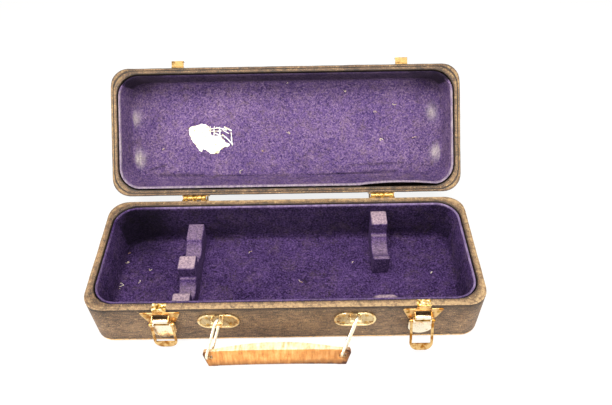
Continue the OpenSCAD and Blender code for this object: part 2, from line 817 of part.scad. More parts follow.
module lid_leaf(x) { color(brass) opened() at_hinge(x) mirror([0, 0, 1]) hinge_leaf(1); }

module hinge_pin(x) { color(nickel) at_hinge(x) x_pin(hinge_pin_r, knuckle_span); }

module lid_shell() {
    color(leatherette) opened() difference() {
        translate([0, 0, lid_z + lid_h]) mirror([0, 0, 1]) case_block(lid_h);
        translate([0, 0, lid_z - cut]) cavity(lid_h - lid_panel_t);
        crease_band(lid_z + bead_h);
        translate([0, 0, lid_z - cut]) linear_extrude(crease_d + cut) difference() {
            rounded_rect(case_l - 2 * bead_h + crease_w, case_d - 2 * bead_h + crease_w,
                corner_r - bead_h + crease_w / 2);
            rounded_rect(case_l - 2 * bead_h - crease_w, case_d - 2 * bead_h - crease_w,
                corner_r - bead_h - crease_w / 2);
        }
        at_catch_tacks() tack_shank();
        at_leaf_tacks(-1) tack_shank();
    }
}

module lid_lining() {
    color(velvet) opened() translate([0, 0, lid_z + lid_h - lid_panel_t]) mirror([0, 0, 1])
        lining_tray(lid_lining_h, lid_flare);
}

module latch_tacks() { color(brass) at_latch_tacks() tack(); }
module handle_tacks() { color(brass) at_handle_tacks() tack(); }
module base_leaf_tacks() { color(nickel) at_leaf_tacks(1) tack(); }
module lid_leaf_tacks() { color(nickel) opened() at_leaf_tacks(-1) tack(); }
module catch_tacks() { color(brass) opened() at_catch_tacks() tack(); }

base_shell();
base_lining();
left_cradle();
right_cradle();
front_rest();
latch_plate(latch_x[0]);  // latch_plate_left
latch_plate(latch_x[1]);  // latch_plate_right
lever_pin(latch_x[0]);  // lever_pin_left
lever_pin(latch_x[1]);  // lever_pin_right
latch_tacks();
handle_plate(-1);  // handle_plate_left
handle_plate(1);  // handle_plate_right
handle_tacks();
base_leaf(hinge_x[0]);  // base_leaf_left
base_leaf(hinge_x[1]);  // base_leaf_right
hinge_pin(hinge_x[0]);  // hinge_pin_left
hinge_pin(hinge_x[1]);  // hinge_pin_right
base_leaf_tacks();
lid_shell();
lid_lining();
lid_leaf(hinge_x[0]);  // lid_leaf_left
lid_leaf(hinge_x[1]);  // lid_leaf_right
lid_leaf_tacks();
catch(catch_x[0]);  // catch_left
catch(catch_x[1]);  // catch_right
catch_tacks();
latch_lever(latch_x[0]);  // latch_lever_left
loop_pin(latch_x[0]);  // loop_pin_left
latch_loop(latch_x[0], loop_tilt[0]);  // latch_loop_left
latch_lever(latch_x[1]);  // latch_lever_right
loop_pin(latch_x[1]);  // loop_pin_right
latch_loop(latch_x[1], loop_tilt[1]);  // latch_loop_right
handle_ring(-1);  // handle_ring_left
handle_ring(1);  // handle_ring_right
grip_front();
grip_core();
grip_back();
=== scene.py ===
# %% [markdown]
# # A hard case for a wind instrument that comes apart in two joints
# The real case is a pair of wooden trays covered in leathercloth and lined with velvet, with
# stamped and nickelled fittings and a leather grip. The solids come packed from the CAD model
# and give every place and size. This lesson dresses them: coverings, linings and leather are
# modelled again with soft forms, and the metal keeps its solids and gets rounded edges.

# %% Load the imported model
import math
import random
from collections import namedtuple

import bmesh
import bpy
import numpy as np
from mathutils import Matrix, Vector, noise


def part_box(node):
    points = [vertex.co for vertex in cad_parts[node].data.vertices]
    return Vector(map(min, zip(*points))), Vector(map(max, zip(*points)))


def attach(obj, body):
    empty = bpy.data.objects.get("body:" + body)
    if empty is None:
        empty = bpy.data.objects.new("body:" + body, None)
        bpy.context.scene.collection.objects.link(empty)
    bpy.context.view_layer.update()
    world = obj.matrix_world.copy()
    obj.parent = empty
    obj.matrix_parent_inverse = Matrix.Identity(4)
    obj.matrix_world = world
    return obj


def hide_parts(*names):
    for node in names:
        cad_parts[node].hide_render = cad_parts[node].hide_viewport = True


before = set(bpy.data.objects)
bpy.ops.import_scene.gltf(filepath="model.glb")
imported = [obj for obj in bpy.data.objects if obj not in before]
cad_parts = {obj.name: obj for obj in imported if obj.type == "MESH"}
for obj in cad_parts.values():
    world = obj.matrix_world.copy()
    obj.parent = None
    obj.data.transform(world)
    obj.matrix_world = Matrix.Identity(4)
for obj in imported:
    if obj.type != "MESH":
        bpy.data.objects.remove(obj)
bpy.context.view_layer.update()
MM = 0.001

# %% [markdown]
# ## Camera
# The photograph looks down on the open case from the front. The lens, the place and the three
# angles were solved from the case's own straight edges, so the model needs no shift.

# %% Set up the camera
bpy.context.scene.view_settings.view_transform = "Standard"
PICTURE_WIDTH, PICTURE_HEIGHT = 612, 405
FOCAL_PIXELS = 581.7
CAMERA_AT = Vector((21.4, -342.5, 468.6)) * MM
PITCH, YAW, ROLL = (math.radians(a) for a in (46.09, -0.32, -1.17))

forward = Vector((math.sin(YAW) * math.cos(PITCH), math.cos(YAW) * math.cos(PITCH), -math.sin(PITCH)))
level = Vector((math.cos(YAW), -math.sin(YAW), 0))
upward = level.cross(forward)
right = math.cos(ROLL) * level + math.sin(ROLL) * upward
up = -math.sin(ROLL) * level + math.cos(ROLL) * upward

camera = bpy.data.objects.new("camera", bpy.data.cameras.new("camera"))
camera.data.sensor_width = 36
camera.data.lens = FOCAL_PIXELS * camera.data.sensor_width / PICTURE_WIDTH
camera.matrix_world = Matrix.Translation(CAMERA_AT) @ Matrix((right, up, -forward)).transposed().to_4x4()
bpy.context.collection.objects.link(camera)
bpy.context.scene.camera = camera
print("lens", round(camera.data.lens, 2), "mm")


# %% Find a mark of the photograph on the model
def mark_on(pixel, plane_z, turn=Matrix.Identity(4)):
    """Where the sight line through a pixel meets a level plane of a piece, in millimetres.
    turn is how the piece is turned once it is made."""
    across, down = pixel[0] - PICTURE_WIDTH / 2, pixel[1] - PICTURE_HEIGHT / 2
    back = turn.inverted()
    eye = back @ CAMERA_AT
    ray = back.to_3x3() @ (forward * FOCAL_PIXELS + right * across - up * down)
    return (eye + ray * ((plane_z * MM - eye.z) / ray.z)) / MM


# %% [markdown]
# ## Colours and nodes
# Every colour is written as the eye sees it on a screen, and one function turns it to the
# linear light that a shader counts in. One small function adds a node of any kind.

# %% Helpers for every material and node tree
def linear(colour):
    parts = [int(colour[i : i + 2], 16) / 255 for i in (1, 3, 5)]
    return [c / 12.92 if c <= 0.04045 else ((c + 0.055) / 1.055) ** 2.4 for c in parts] + [1]


def add(tree, kind, links=None, stops=None, **settings):
    """Adds one node. links gives an input a value or another node's output, stops fill a ramp."""
    node = tree.nodes.new(kind)
    for name, value in settings.items():
        setattr(node, name, value)
    for name, value in (links or {}).items():
        if isinstance(value, bpy.types.NodeSocket):
            tree.links.new(value, node.inputs[name])
        else:
            node.inputs[name].default_value = value
    for i, (place, colour) in enumerate(stops or []):
        ramp = node.color_ramp.elements
        stop = ramp[i] if i < 2 else ramp.new(place)
        stop.position = place
        stop.color = linear(colour)
    return node


def new_material(name, **sockets):
    """A material with the uniform values set on the shader's own sockets."""
    made = bpy.data.materials.new(name)
    made.use_nodes = True
    shader = made.node_tree.nodes["Principled BSDF"]
    for socket, value in sockets.items():
        shader.inputs[socket.replace("_", " ")].default_value = value
    return made, made.node_tree, shader


def own_place(tree, turn=None):
    """Object coordinates. For a piece that is turned once it is made, turn brings them back."""
    place = add(tree, "ShaderNodeTexCoord").outputs["Object"]
    if turn is None:
        return place
    return add(tree, "ShaderNodeMapping", {"Vector": place, "Location": turn.to_translation(),
                                           "Rotation": turn.to_euler()}).outputs[0]


# %% [markdown]
# ## Studio
# The background of the photograph is burnt out to white. The world is white where the camera or
# a reflection sees it, and a plain grey light elsewhere. The floor does the same but mixes in
# its own lit surface, which keeps a soft shadow. The main light is a wide one straight above,
# which leaves the upright walls and the far wall of the lid dark, as they are in the photograph.

# %% World, floor and lamps
def seen_ray(tree):
    """1 where the camera, a reflection or a refraction looks, and 0 for plain light."""
    path = add(tree, "ShaderNodeLightPath")
    glossy = add(tree, "ShaderNodeMath", {0: path.outputs["Is Camera Ray"],
                                          1: path.outputs["Is Glossy Ray"]}, operation="MAXIMUM")
    return add(tree, "ShaderNodeMath", {0: glossy.outputs[0],
                                        1: path.outputs["Is Transmission Ray"]}, operation="MAXIMUM").outputs[0]


AMBIENT = 0.34
world = bpy.data.worlds.new("white_room")
bpy.context.scene.world = world
world.use_nodes = True
tree = world.node_tree
level_of_light = add(tree, "ShaderNodeMapRange", {0: seen_ray(tree), 3: AMBIENT, 4: 1.0})
tree.links.new(level_of_light.outputs[0], tree.nodes["Background"].inputs["Strength"])
tree.nodes["Background"].inputs["Color"].default_value = linear("#ffffff")

FLOOR_HALF = 3.0
bpy.ops.mesh.primitive_plane_add(size=2 * FLOOR_HALF)
floor = bpy.context.object
floor.name = "floor"
paper, tree, shader = new_material("white_paper_floor", Base_Color=linear("#f4f2ee"), Roughness=0.9)
shader.inputs["Specular IOR Level"].default_value = 0.1
glow = add(tree, "ShaderNodeEmission", {"Color": linear("#ffffff"), "Strength": 1.0})
share = add(tree, "ShaderNodeMath", {0: seen_ray(tree), 1: 0.82}, operation="MULTIPLY")
mixed = add(tree, "ShaderNodeMixShader", {0: share.outputs[0], 1: shader.outputs[0], 2: glow.outputs[0]})
tree.links.new(mixed.outputs[0], tree.nodes["Material Output"].inputs["Surface"])
floor.data.materials.append(paper)

LAMPS = {
    "lamp_over": ((0.0, -0.16, 1.15), (0.0, 0.02, 0.03), (0.9, 0.6), 19.5),
    "lamp_left": ((-0.85, -0.5, 0.32), (-0.05, -0.02, 0.03), (0.5, 0.6), 10.0),
    "lamp_right": ((0.9, -0.5, 0.32), (0.05, -0.02, 0.03), (0.5, 0.6), 8.5),
}
for name, (place, target, size, power) in LAMPS.items():
    lamp = bpy.data.lights.new(name, "AREA")
    lamp.shape = "RECTANGLE"
    lamp.size, lamp.size_y = size
    lamp.energy = power
    holder = bpy.data.objects.new(name, lamp)
    holder.location = place
    holder.rotation_euler = (Vector(target) - Vector(place)).to_track_quat("-Z", "Y").to_euler()
    bpy.context.collection.objects.link(holder)
print(len(LAMPS), "lamps")

# %% [markdown]
# ## The shape behind the coverings
# Base, lid and linings are all stacks of rounded rectangles. Each row of a stack says how long,
# how deep and how round the rectangle is and how high it lies. One function joins the rows into
# a closed skin. A row also has a number for its finish: above 0 it is rubbed, below 0 it is
# painted darker, mostly as shade in creases, corners and walls.

# %% A skin from rows of rounded rectangles
CASE_L, CASE_D, BASE_H, LID_H = 350.0, 128.0, 52.0, 38.0
STEP = 2.4
Row = namedtuple("Row", "half_l half_d r z wear shift", defaults=(0.0, 0.0))


def spread(low, high, extra=()):
    count = max(2, round((high - low) / STEP))
    places = {round(low + (high - low) * i / count, 3) for i in range(count + 1)}
    return sorted(places | {x for x in extra if low < x < high})


def rounded_ring(row, x_list, y_list, corner_count):
    """Points round a rounded rectangle, the same number for every ring of a skin."""
    half_l, half_d, r = row.half_l, row.half_d, row.r
    x0, y0 = x_list[-1], y_list[-1]
    run_in, arc, run_out = half_l - r - x0, r * math.pi / 2, half_d - r - y0
    corner = []
    for i in range(1, corner_count):
        s = (run_in + arc + run_out) * i / corner_count
        if s < run_in:
            corner.append((x0 + s, -half_d))
        elif s < run_in + arc:
            a = (s - run_in) / r
            corner.append((half_l - r + r * math.sin(a), -half_d + r - r * math.cos(a)))
        else:
            corner.append((half_l, -half_d + r + s - run_in - arc))
    front = [(x, -half_d) for x in x_list]
    side = [(half_l, y) for y in y_list]
    first = front + corner + side + [(x, -y) for x, y in reversed(corner)]
    mirrored = [(-x, half_d) for x, y in front] + [(-x, -y) for x, y in corner]
    mirrored += [(-x, -y) for x, y in side] + [(-x, y) for x, y in reversed(corner)]
    return [(x, y + row.shift, row.z) for x, y in first + mirrored]


def skin(rows, extra_x=(), corner_count=14, close_first=0, close_last=0):
    """The ends are closed with that many rings drawn in to the middle line. Returns points,
    quads and the finish number of each point."""
    x0 = min(row.half_l - row.r for row in rows)
    y0 = min(row.half_d - row.r for row in rows)
    x_list, y_list = spread(-x0, x0, set(extra_x) | {-x for x in extra_x}), spread(-y0, y0)

    def drawn_in(row, count):
        spine = row.half_l - row.half_d
        ring = rounded_ring(row, x_list, y_list, corner_count)
        shares = [i / count for i in range(count)]
        return [[(x * t + max(-spine, min(spine, x)) * (1 - t), row.shift + (y - row.shift) * t, z)
                 for x, y, z in ring] for t in shares], [row.wear] * count

    levels, wear = drawn_in(rows[0], close_first) if close_first else ([], [])
    levels += [rounded_ring(row, x_list, y_list, corner_count) for row in rows]
    wear += [row.wear for row in rows]
    if close_last:
        more, worn = drawn_in(rows[-1], close_last)
        levels, wear = levels + more[::-1], wear + worn
    count = len(levels[0])
    quads = [(i * count + j, i * count + (j + 1) % count, (i + 1) * count + (j + 1) % count, (i + 1) * count + j)
             for i in range(len(levels) - 1) for j in range(count)]
    return np.array(levels).reshape(-1, 3), quads, np.repeat(wear, count).astype(float)


def finish_mesh(name, points, faces, attributes=None, turn=None, merge=0.02):
    """Makes one closed mesh, in metres, with its faces outwards, and returns its object."""
    mesh = bpy.data.meshes.new(name)
    mesh.from_pydata([tuple(p) for p in points], [], [tuple(f) for f in faces])
    for key, values in (attributes or {}).items():
        mesh.attributes.new(key, "FLOAT", "POINT").data.foreach_set("value", np.asarray(values, np.float32))
    work = bmesh.new()
    work.from_mesh(mesh)
    bmesh.ops.remove_doubles(work, verts=work.verts, dist=merge)
    bmesh.ops.recalc_face_normals(work, faces=work.faces)
    work.to_mesh(mesh)
    work.free()
    mesh.transform(Matrix.Scale(MM, 4))
    if turn is not None:
        mesh.transform(turn)
    mesh.polygons.foreach_set("use_smooth", [True] * len(mesh.polygons))
    made = bpy.data.objects.new(name, mesh)
    bpy.context.collection.objects.link(made)
    print(name, len(mesh.polygons), "faces")
    return made


def place_piece(piece, finish, body, slot, *nodes):
    """Gives a piece its material, the body that it moves with and what it stands for. Its slot is not used."""
    if finish is not None:
        piece.data.materials.clear()
        piece.data.materials.append(finish)
    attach(piece, body)
    if nodes:
        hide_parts(*nodes)


# The lid is made shut, and turned open about the hinge pins as its solids are.
HINGE_AT = Vector((0, 66.9, 52.15)) * MM
LID_Z = 52.3
OPEN = (Matrix.Translation(HINGE_AT) @ Matrix.Rotation(math.radians(-135), 4, "X")
        @ Matrix.Translation(-HINGE_AT))

# %% [markdown]
# ## Leathercloth
# The covering is leathercloth: cotton cloth coated with a brown-black compound and embossed with
# a fine grain, glued round the wood. Age gives the eye three things: a low, broken sheen on the
# grain, a dusty tan where edges are rubbed, and small scuffs. The shadow under the bead and the
# shade in crease and grooves are painted dark into the colour. Along the foot the coating is worn
# through to the golden cotton, whose bright gold is also painted light from the floor. The real
# grain is about 0.8 mm across, and it is drawn at 1.7 mm so that it shows in the picture.

# %% The leathercloth material
def leathercloth(name, rubbed, turn=None):
    made, tree, shader = new_material(name, Metallic=0.0)
    place = own_place(tree, turn)
    grain = add(tree, "ShaderNodeTexVoronoi", {"Vector": place, "Scale": 1 / 0.0017},
                feature="DISTANCE_TO_EDGE").outputs["Distance"]
    patches = add(tree, "ShaderNodeTexNoise", {"Vector": place, "Scale": 1 / 0.03, "Detail": 5.0,
                                               "Roughness": 0.6}).outputs[0]
    scuffs = add(tree, "ShaderNodeTexNoise", {"Vector": place, "Scale": 1 / 0.0032, "Detail": 6.0,
                                              "Roughness": 0.75}).outputs[0]
    coat = add(tree, "ShaderNodeValToRGB", {0: patches},
               stops=[(0.32, "#61452a"), (0.52, "#795c40"), (0.72, "#92724d")]).outputs[0]
    specks = add(tree, "ShaderNodeMapRange", {0: scuffs, 1: 0.55, 2: 0.72}).outputs[0]
    speckled = add(tree, "ShaderNodeMix", {0: specks, 6: coat, 7: linear("#c8a878")}, data_type="RGBA").outputs[2]
    level_lines = add(tree, "ShaderNodeMapping", {"Vector": place,
                                                  "Scale": (1 / 0.006, 1 / 0.006, 1 / 0.0014)}).outputs[0]
    streaks = add(tree, "ShaderNodeTexNoise", {"Vector": level_lines, "Scale": 1.0, "Detail": 3.0}).outputs[0]
    strokes = add(tree, "ShaderNodeMapRange", {0: streaks, 1: 0.35, 2: 0.65, 3: -0.3, 4: 0.3}).outputs[0]
    cells = add(tree, "ShaderNodeMapRange", {0: grain, 1: 0.0, 2: 0.2, 3: 0.3, 4: 1.05}).outputs[0]
    valleys = add(tree, "ShaderNodeMath", {0: cells, 1: strokes}, operation="ADD").outputs[0]
    grained = add(tree, "ShaderNodeMix", {0: 1.0, 6: speckled, 7: valleys}, data_type="RGBA",
                  blend_type="MULTIPLY").outputs[2]
    wear = add(tree, "ShaderNodeAttribute", attribute_name="wear").outputs["Fac"]
    broken = add(tree, "ShaderNodeMapRange", {0: scuffs, 1: 0.4, 2: 0.58, 3: 0.05, 4: 1.35}).outputs[0]
    bare = add(tree, "ShaderNodeMath", {0: wear, 1: broken}, operation="MULTIPLY", use_clamp=True).outputs[0]
    worn = add(tree, "ShaderNodeMix", {0: bare, 6: grained, 7: linear(rubbed)}, data_type="RGBA").outputs[2]
    # Where the foot is worn through it shows golden cotton; its bright gold is also painted light from the floor on a
    # face turned down
    deep = add(tree, "ShaderNodeMapRange", {0: wear, 1: 1.0, 2: 2.0}).outputs[0]
    through = add(tree, "ShaderNodeMath", {0: deep, 1: broken}, operation="MULTIPLY", use_clamp=True).outputs[0]
    bottom = add(tree, "ShaderNodeMix", {0: through, 6: worn, 7: linear("#eeb04c")}, data_type="RGBA").outputs[2]
    # A finish below 0 darkens the colour: painted shade under the bead, in crease and groove and inside the wall, and
    # darker towards the foot
    darkening = add(tree, "ShaderNodeMapRange", {0: wear, 1: -1.0, 2: 0.0, 3: 0.2, 4: 1.0}).outputs[0]
    colour = add(tree, "ShaderNodeMix", {0: 1.0, 6: bottom, 7: darkening}, data_type="RGBA",
                 blend_type="MULTIPLY").outputs[2]
    tree.links.new(colour, shader.inputs["Base Color"])
    gloss = add(tree, "ShaderNodeMapRange", {0: scuffs, 1: 0.3, 2: 0.7, 3: 0.48, 4: 0.78}).outputs[0]
    tree.links.new(gloss, shader.inputs["Roughness"])
    relief = add(tree, "ShaderNodeMath", {0: valleys, 1: scuffs}, operation="ADD").outputs[0]
    bump = add(tree, "ShaderNodeBump", {"Height": relief, "Strength": 0.7, "Distance": 0.0003})
    tree.links.new(bump.outputs[0], shader.inputs["Normal"])
    return made


base_cloth = leathercloth("embossed_leathercloth", "#a98b62")
# The lid's copy has a darker rubbed colour: painted shade for a rim turned away from the lamp above
shaded_lid_cloth = leathercloth("embossed_leathercloth_lid", "#9a7e54", OPEN.inverted())

# %% [markdown]
# ## Base and lid
# Each shell is a tray with a bead along its rim, made where the covering is folded over the
# edge, and a crease under the bead. The stack of rows gives both, with the rounded edges that a
# glued covering always has. Rows on an edge are rubbed, and rows in and under the crease are
# painted dark as shade.

# %% Rows of the two shells
WALL, CORNER_R, INNER_R, EDGE_R, BEAD_R = 6.0, 18.0, 22.0, 4.0, 1.1
LATCH_X = (-107.5, 118.5)
TONGUE_HALF, TONGUE_T = 6.0, 0.8
BEAD_SHADOW_REACH, FOOT_REACH = 15.0, 6.0


def outside_row(inset, z, wear=0.0):
    return Row(CASE_L / 2 - inset, CASE_D / 2 - inset, CORNER_R - inset, z, wear)


def rim_row(inset, z, wear=0.0):
    """Between the outside corner and the rounder inside corner the radius changes evenly."""
    r = CORNER_R + (INNER_R - CORNER_R) * inset / WALL
    return Row(CASE_L / 2 - inset, CASE_D / 2 - inset, r, z, wear)


def quarter(count):
    return [math.radians(90 * i / count) for i in range(count + 1)]


def shell_rows(height, floor_z, crease_low, rim_groove, rim_wear, edge_wear, foot_wear):
    """rim_wear is for the flat of the rim, edge_wear for its outer edge and foot_wear for the foot."""
    # Painted shadow under the bead, and darker towards the foot
    def darkening(z):
        below_bead = max(0.0, 1 - (crease_low - z) / BEAD_SHADOW_REACH)
        at_foot = max(0.0, 1 - (z - EDGE_R) / FOOT_REACH)
        return -0.5 * below_bead - 0.4 * at_foot

    rows = [outside_row(EDGE_R * (1 - math.sin(a)), EDGE_R * (1 - math.cos(a)),
                        foot_wear * math.exp(-((math.degrees(a) - 74) / 26) ** 2)) for a in quarter(8)]
    rows += [outside_row(0, z, darkening(z)) for z in np.arange(EDGE_R + 1, crease_low - 0.8, 2.4)]
    # The crease is painted dark as shade
    rows += [outside_row(0.05, crease_low - 0.3, -0.8), outside_row(0.5, crease_low + 0.1, -1),
             outside_row(0.5, crease_low + 0.7, -1), outside_row(0.05, crease_low + 1.0, -1),
             outside_row(0.0, crease_low + 1.7, -0.6)]
    rows += [rim_row(BEAD_R * (1 - math.cos(a)), height - BEAD_R + BEAD_R * math.sin(a),
                     rim_wear * math.sin(a) + (edge_wear - rim_wear * math.sin(a)) * math.cos(a)) for a in quarter(5)]
    rows += [rim_row(1.6, height, max(rim_wear, edge_wear))]
    # The groove in the lid's rim is painted dark as shade
    if rim_groove:
        rows += [rim_row(2.0, height, rim_wear), rim_row(2.3, height - 0.6, -1),
                 rim_row(3.0, height - 0.6, -1), rim_row(3.3, height, rim_wear)]
    # The inner edge of the rim and the inside of the wall are painted dark as shade
    inner = 0.9
    rows += [rim_row(3.7, height, rim_wear * 0.7), rim_row(4.5, height, rim_wear * 0.3)]
    rows += [rim_row(WALL - inner + inner * math.sin(a), height - inner + inner * math.cos(a),
                     -0.1 - 0.9 * math.sin(a)) for a in quarter(3)]
    rows += [Row(CASE_L / 2 - WALL, CASE_D / 2 - WALL, INNER_R, z, -1)
             for z in (height - 4, (height + floor_z) / 2, floor_z)]
    return rows


# %% Build the two shells
def hand_laid(points, outside, amount=0.22):
    """Gives the outside of a covering the slight waves of cloth that was glued by hand."""
    for i in np.flatnonzero(outside):
        x, y, z = points[i]
        wave = noise.fractal(Vector((x / 14, y / 14, z / 9)), 1.0, 2.0, 3) - 0.5
        inward = Vector((x / CASE_L, y / CASE_D)).normalized() * amount * wave
        points[i, 0] += inward.x
        points[i, 1] += inward.y


tongue_edges = [x + s * (TONGUE_HALF + e) for x in LATCH_X for s in (-1, 1) for e in (-0.05, 0.05)]
points, quads, wear = skin(shell_rows(BASE_H, 5.0, 48.6, False, 0.5, 1.0, 2.0), tongue_edges,
                           close_first=10, close_last=4)
# The rim is made less pale towards the left end
wear -= (points[:, 2] > BASE_H - 1.5) * (wear > 0) * 0.45 * np.clip((-points[:, 0] - 60) / 80, 0, 1)
hand_laid(points, (abs(points[:, 1]) > CASE_D / 2 - 1) | (abs(points[:, 0]) > CASE_L / 2 - 1))
for x in LATCH_X:
    under_tongue = (abs(points[:, 0] - x) < TONGUE_HALF) & (points[:, 1] < 10 - CASE_D / 2)
    low = under_tongue & (points[:, 2] > BASE_H - TONGUE_T)
    points[low, 2] = BASE_H - TONGUE_T
base_shell = finish_mesh("base_covering", points, quads, {"wear": wear})
place_piece(base_shell, base_cloth, "base", "leatherette", "base_shell")

# The outer edge of the lid's bead is given -0.9: a painted line of shade along it
points, quads, wear = skin(shell_rows(LID_H, 4.0, LID_H - 3.4, True, 0.55, -0.9, 0.8), close_first=10, close_last=4)
on_rim = (points[:, 2] > LID_H - 0.6) & (wear > -0.85)
wear -= on_rim * 0.55 * np.clip((abs(points[:, 1]) - 40) / 20, 0, 1) * (abs(points[:, 0]) < 160)
hand_laid(points, (abs(points[:, 1]) > CASE_D / 2 - 1) | (abs(points[:, 0]) > CASE_L / 2 - 1))
points[:, 2] = LID_Z + LID_H - points[:, 2]
lid_shell = finish_mesh("lid_covering", points, quads, {"wear": wear}, OPEN)
place_piece(lid_shell, shaded_lid_cloth, "lid", "leatherette", "lid_shell")

# %% [markdown]
# ## Velvet
# The lining is cotton velvet: a woven ground with a dense short pile that stands up. The pile
# gives the eye a dark face where it is seen end on, a faint bloom at grazing angles, which is
# the shader's sheen, and short curved strokes where tufts lean one way or the other. The strokes
# are noise whose own place is bent by noise. Real tufts are about 0.4 mm, drawn at 2 mm so that
# they show in the picture. Rubbed velvet shows its pale ground in lines across the case.

# %% The velvet materials
def velvet(name, dark, mid, pale, worn, turn=None, dusty=0.5, contrast=1.25, rubbed_lines=(2.2, 9, 9)):
    made, tree, shader = new_material(name, Roughness=0.95, Sheen_Weight=0.12, Sheen_Roughness=0.4)
    shader.inputs["Specular IOR Level"].default_value = 0.1
    shader.inputs["Sheen Tint"].default_value = linear(pale)
    place = own_place(tree, turn)
    strokes = add(tree, "ShaderNodeTexNoise", {"Vector": place, "Scale": 1 / 0.0034, "Detail": 2.0,
                                               "Distortion": 2.2}).outputs[0]
    tufts = add(tree, "ShaderNodeTexNoise", {"Vector": place, "Scale": 1 / 0.0018, "Detail": 3.0,
                                             "Roughness": 0.7}).outputs[0]
    pressed = add(tree, "ShaderNodeTexNoise", {"Vector": place, "Scale": 1 / 0.034, "Detail": 4.0,
                                               "Distortion": 0.5}).outputs[0]
    dust = add(tree, "ShaderNodeTexNoise", {"Vector": place, "Scale": 1 / 0.014, "Detail": 7.0,
                                            "Roughness": 0.85}).outputs[0]
    fine = add(tree, "ShaderNodeMath", {0: strokes, 1: tufts}, operation="ADD").outputs[0]
    fine = add(tree, "ShaderNodeMath", {0: fine, 1: contrast, 2: 0.5 - contrast},
               operation="MULTIPLY_ADD").outputs[0]
    broad = add(tree, "ShaderNodeMath", {0: pressed, 1: 0.45, 2: -0.225}, operation="MULTIPLY_ADD").outputs[0]
    both = add(tree, "ShaderNodeMath", {0: fine, 1: broad}, operation="ADD").outputs[0]
    shade = add(tree, "ShaderNodeAttribute", attribute_name="shade").outputs["Fac"]
    tone = add(tree, "ShaderNodeMath", {0: both, 1: shade}, operation="ADD").outputs[0]
    pile = add(tree, "ShaderNodeValToRGB", {0: tone}, stops=[(0.2, dark), (0.5, mid), (0.85, pale)]).outputs[0]
    brown = add(tree, "ShaderNodeMapRange", {0: dust, 1: 0.5, 2: 0.72, 3: 0.0, 4: dusty}).outputs[0]
    dusted = add(tree, "ShaderNodeMix", {0: brown, 6: pile, 7: linear("#6f5b5a")}, data_type="RGBA").outputs[2]
    wear = add(tree, "ShaderNodeAttribute", attribute_name="wear").outputs["Fac"]
    lines = add(tree, "ShaderNodeMapping", {"Vector": place,
                                            "Scale": [1 / (size * MM) for size in rubbed_lines]}).outputs[0]
    ground = add(tree, "ShaderNodeTexNoise", {"Vector": lines, "Scale": 1.0, "Detail": 3.0}).outputs[0]
    ragged = add(tree, "ShaderNodeMapRange", {0: ground, 1: 0.35, 2: 0.65, 3: 0.5, 4: 1.2}).outputs[0]
    bare = add(tree, "ShaderNodeMath", {0: wear, 1: ragged}, operation="MULTIPLY", use_clamp=True).outputs[0]
    rubbed = add(tree, "ShaderNodeMix", {0: bare, 6: dusted, 7: linear(worn)}, data_type="RGBA").outputs[2]
    # Painted shade: a finish below 0 darkens the pile on walls, in corners, creases and folds
    depth = add(tree, "ShaderNodeMapRange", {0: wear, 1: -1.0, 2: 0.0, 3: 0.12, 4: 1.0}).outputs[0]
    colour = add(tree, "ShaderNodeMix", {0: 1.0, 6: rubbed, 7: depth}, data_type="RGBA",
                 blend_type="MULTIPLY").outputs[2]
    tree.links.new(colour, shader.inputs["Base Color"])
    bump = add(tree, "ShaderNodeBump", {"Height": both, "Strength": 0.8, "Distance": 0.0008})
    tree.links.new(bump.outputs[0], shader.inputs["Normal"])
    return made


# The base's velvet is a darker copy of the lid's: painted shade of the deep tray and of the instrument that lay in it
base_velvet = velvet("cotton_velvet", "#1a1026", "#3a2750", "#5e4675", "#8d7a98", dusty=0.35)
lid_velvet = velvet("cotton_velvet_lid", "#3c2c58", "#5f4873", "#876f8b", "#c9bdb2", OPEN.inverted(), dusty=0.7)
block_velvet = velvet("cotton_velvet_worn", "#271838", "#432f59", "#6b5280", "#a38c92", dusty=0.2,
                      rubbed_lines=(1.8, 1.8, 1.8))

# %% [markdown]
# ## Linings
# The velvet is glued on thin card, and the card trays are dropped into the wooden ones. Their
# walls lean in to the floor, the corner between them is soft, and the cloth is never quite flat.
# So the same stack of rows is used, with a soft fold at the floor, low waves from noise, and
# creases that are pressed in along lines marked in the photograph.

# %% Rows of a lining
LINING_T, LINING_GAP, LINING_DROP, FOLD = 2.0, 1.0, 1.0, 3.0
BASE_FLARE, LID_FLARE = (2.0, 4.0, 4.0), (2.0, 1.0, 11.0)
BASE_FLOOR_T, LID_PANEL_T = 5.0, 4.0


def lining_rows(height, flare):
    """Rows of a tray that stands on height 0, from the middle of its floor over the rim to its back.
    flare is how far the ends, the front and the back lean in at the floor."""
    top_l, top_d = CASE_L / 2 - WALL - LINING_GAP, CASE_D / 2 - WALL - LINING_GAP

    def wall(z, inset, wear=0.0, drawn=0.0):
        lean = (height - z) / height
        return Row(top_l - inset - drawn - flare[0] * lean, top_d - inset - drawn - (flare[1] + flare[2]) / 2 * lean,
                   INNER_R - LINING_GAP - inset - drawn, z, wear, (flare[1] - flare[2]) / 2 * lean)

    rows = [wall(LINING_T, LINING_T, 0, FOLD + x) for x in (5.0, 2.5)]
    # The fold at the floor is painted a little darker as shade
    rows += [wall(LINING_T, LINING_T, -0.25 * math.sin(2 * a), FOLD * (1 - math.sin(a)))._replace(
        z=LINING_T + FOLD * (1 - math.cos(a))) for a in quarter(5)]
    rows += [wall(z, LINING_T) for z in np.arange(LINING_T + FOLD + 1.5, height - 1.6, 1.8)]
    edge = LINING_T / 2
    rows += [wall(height - edge + edge * math.sin(math.radians(t)), edge + edge * math.cos(math.radians(t)), 0.35)
             for t in range(0, 181, 30)]
    # The back of the tray is painted dark as shade, where it shows in gaps
    return rows + [wall(z, 0, -1) for z in (height * 0.5, 0)]


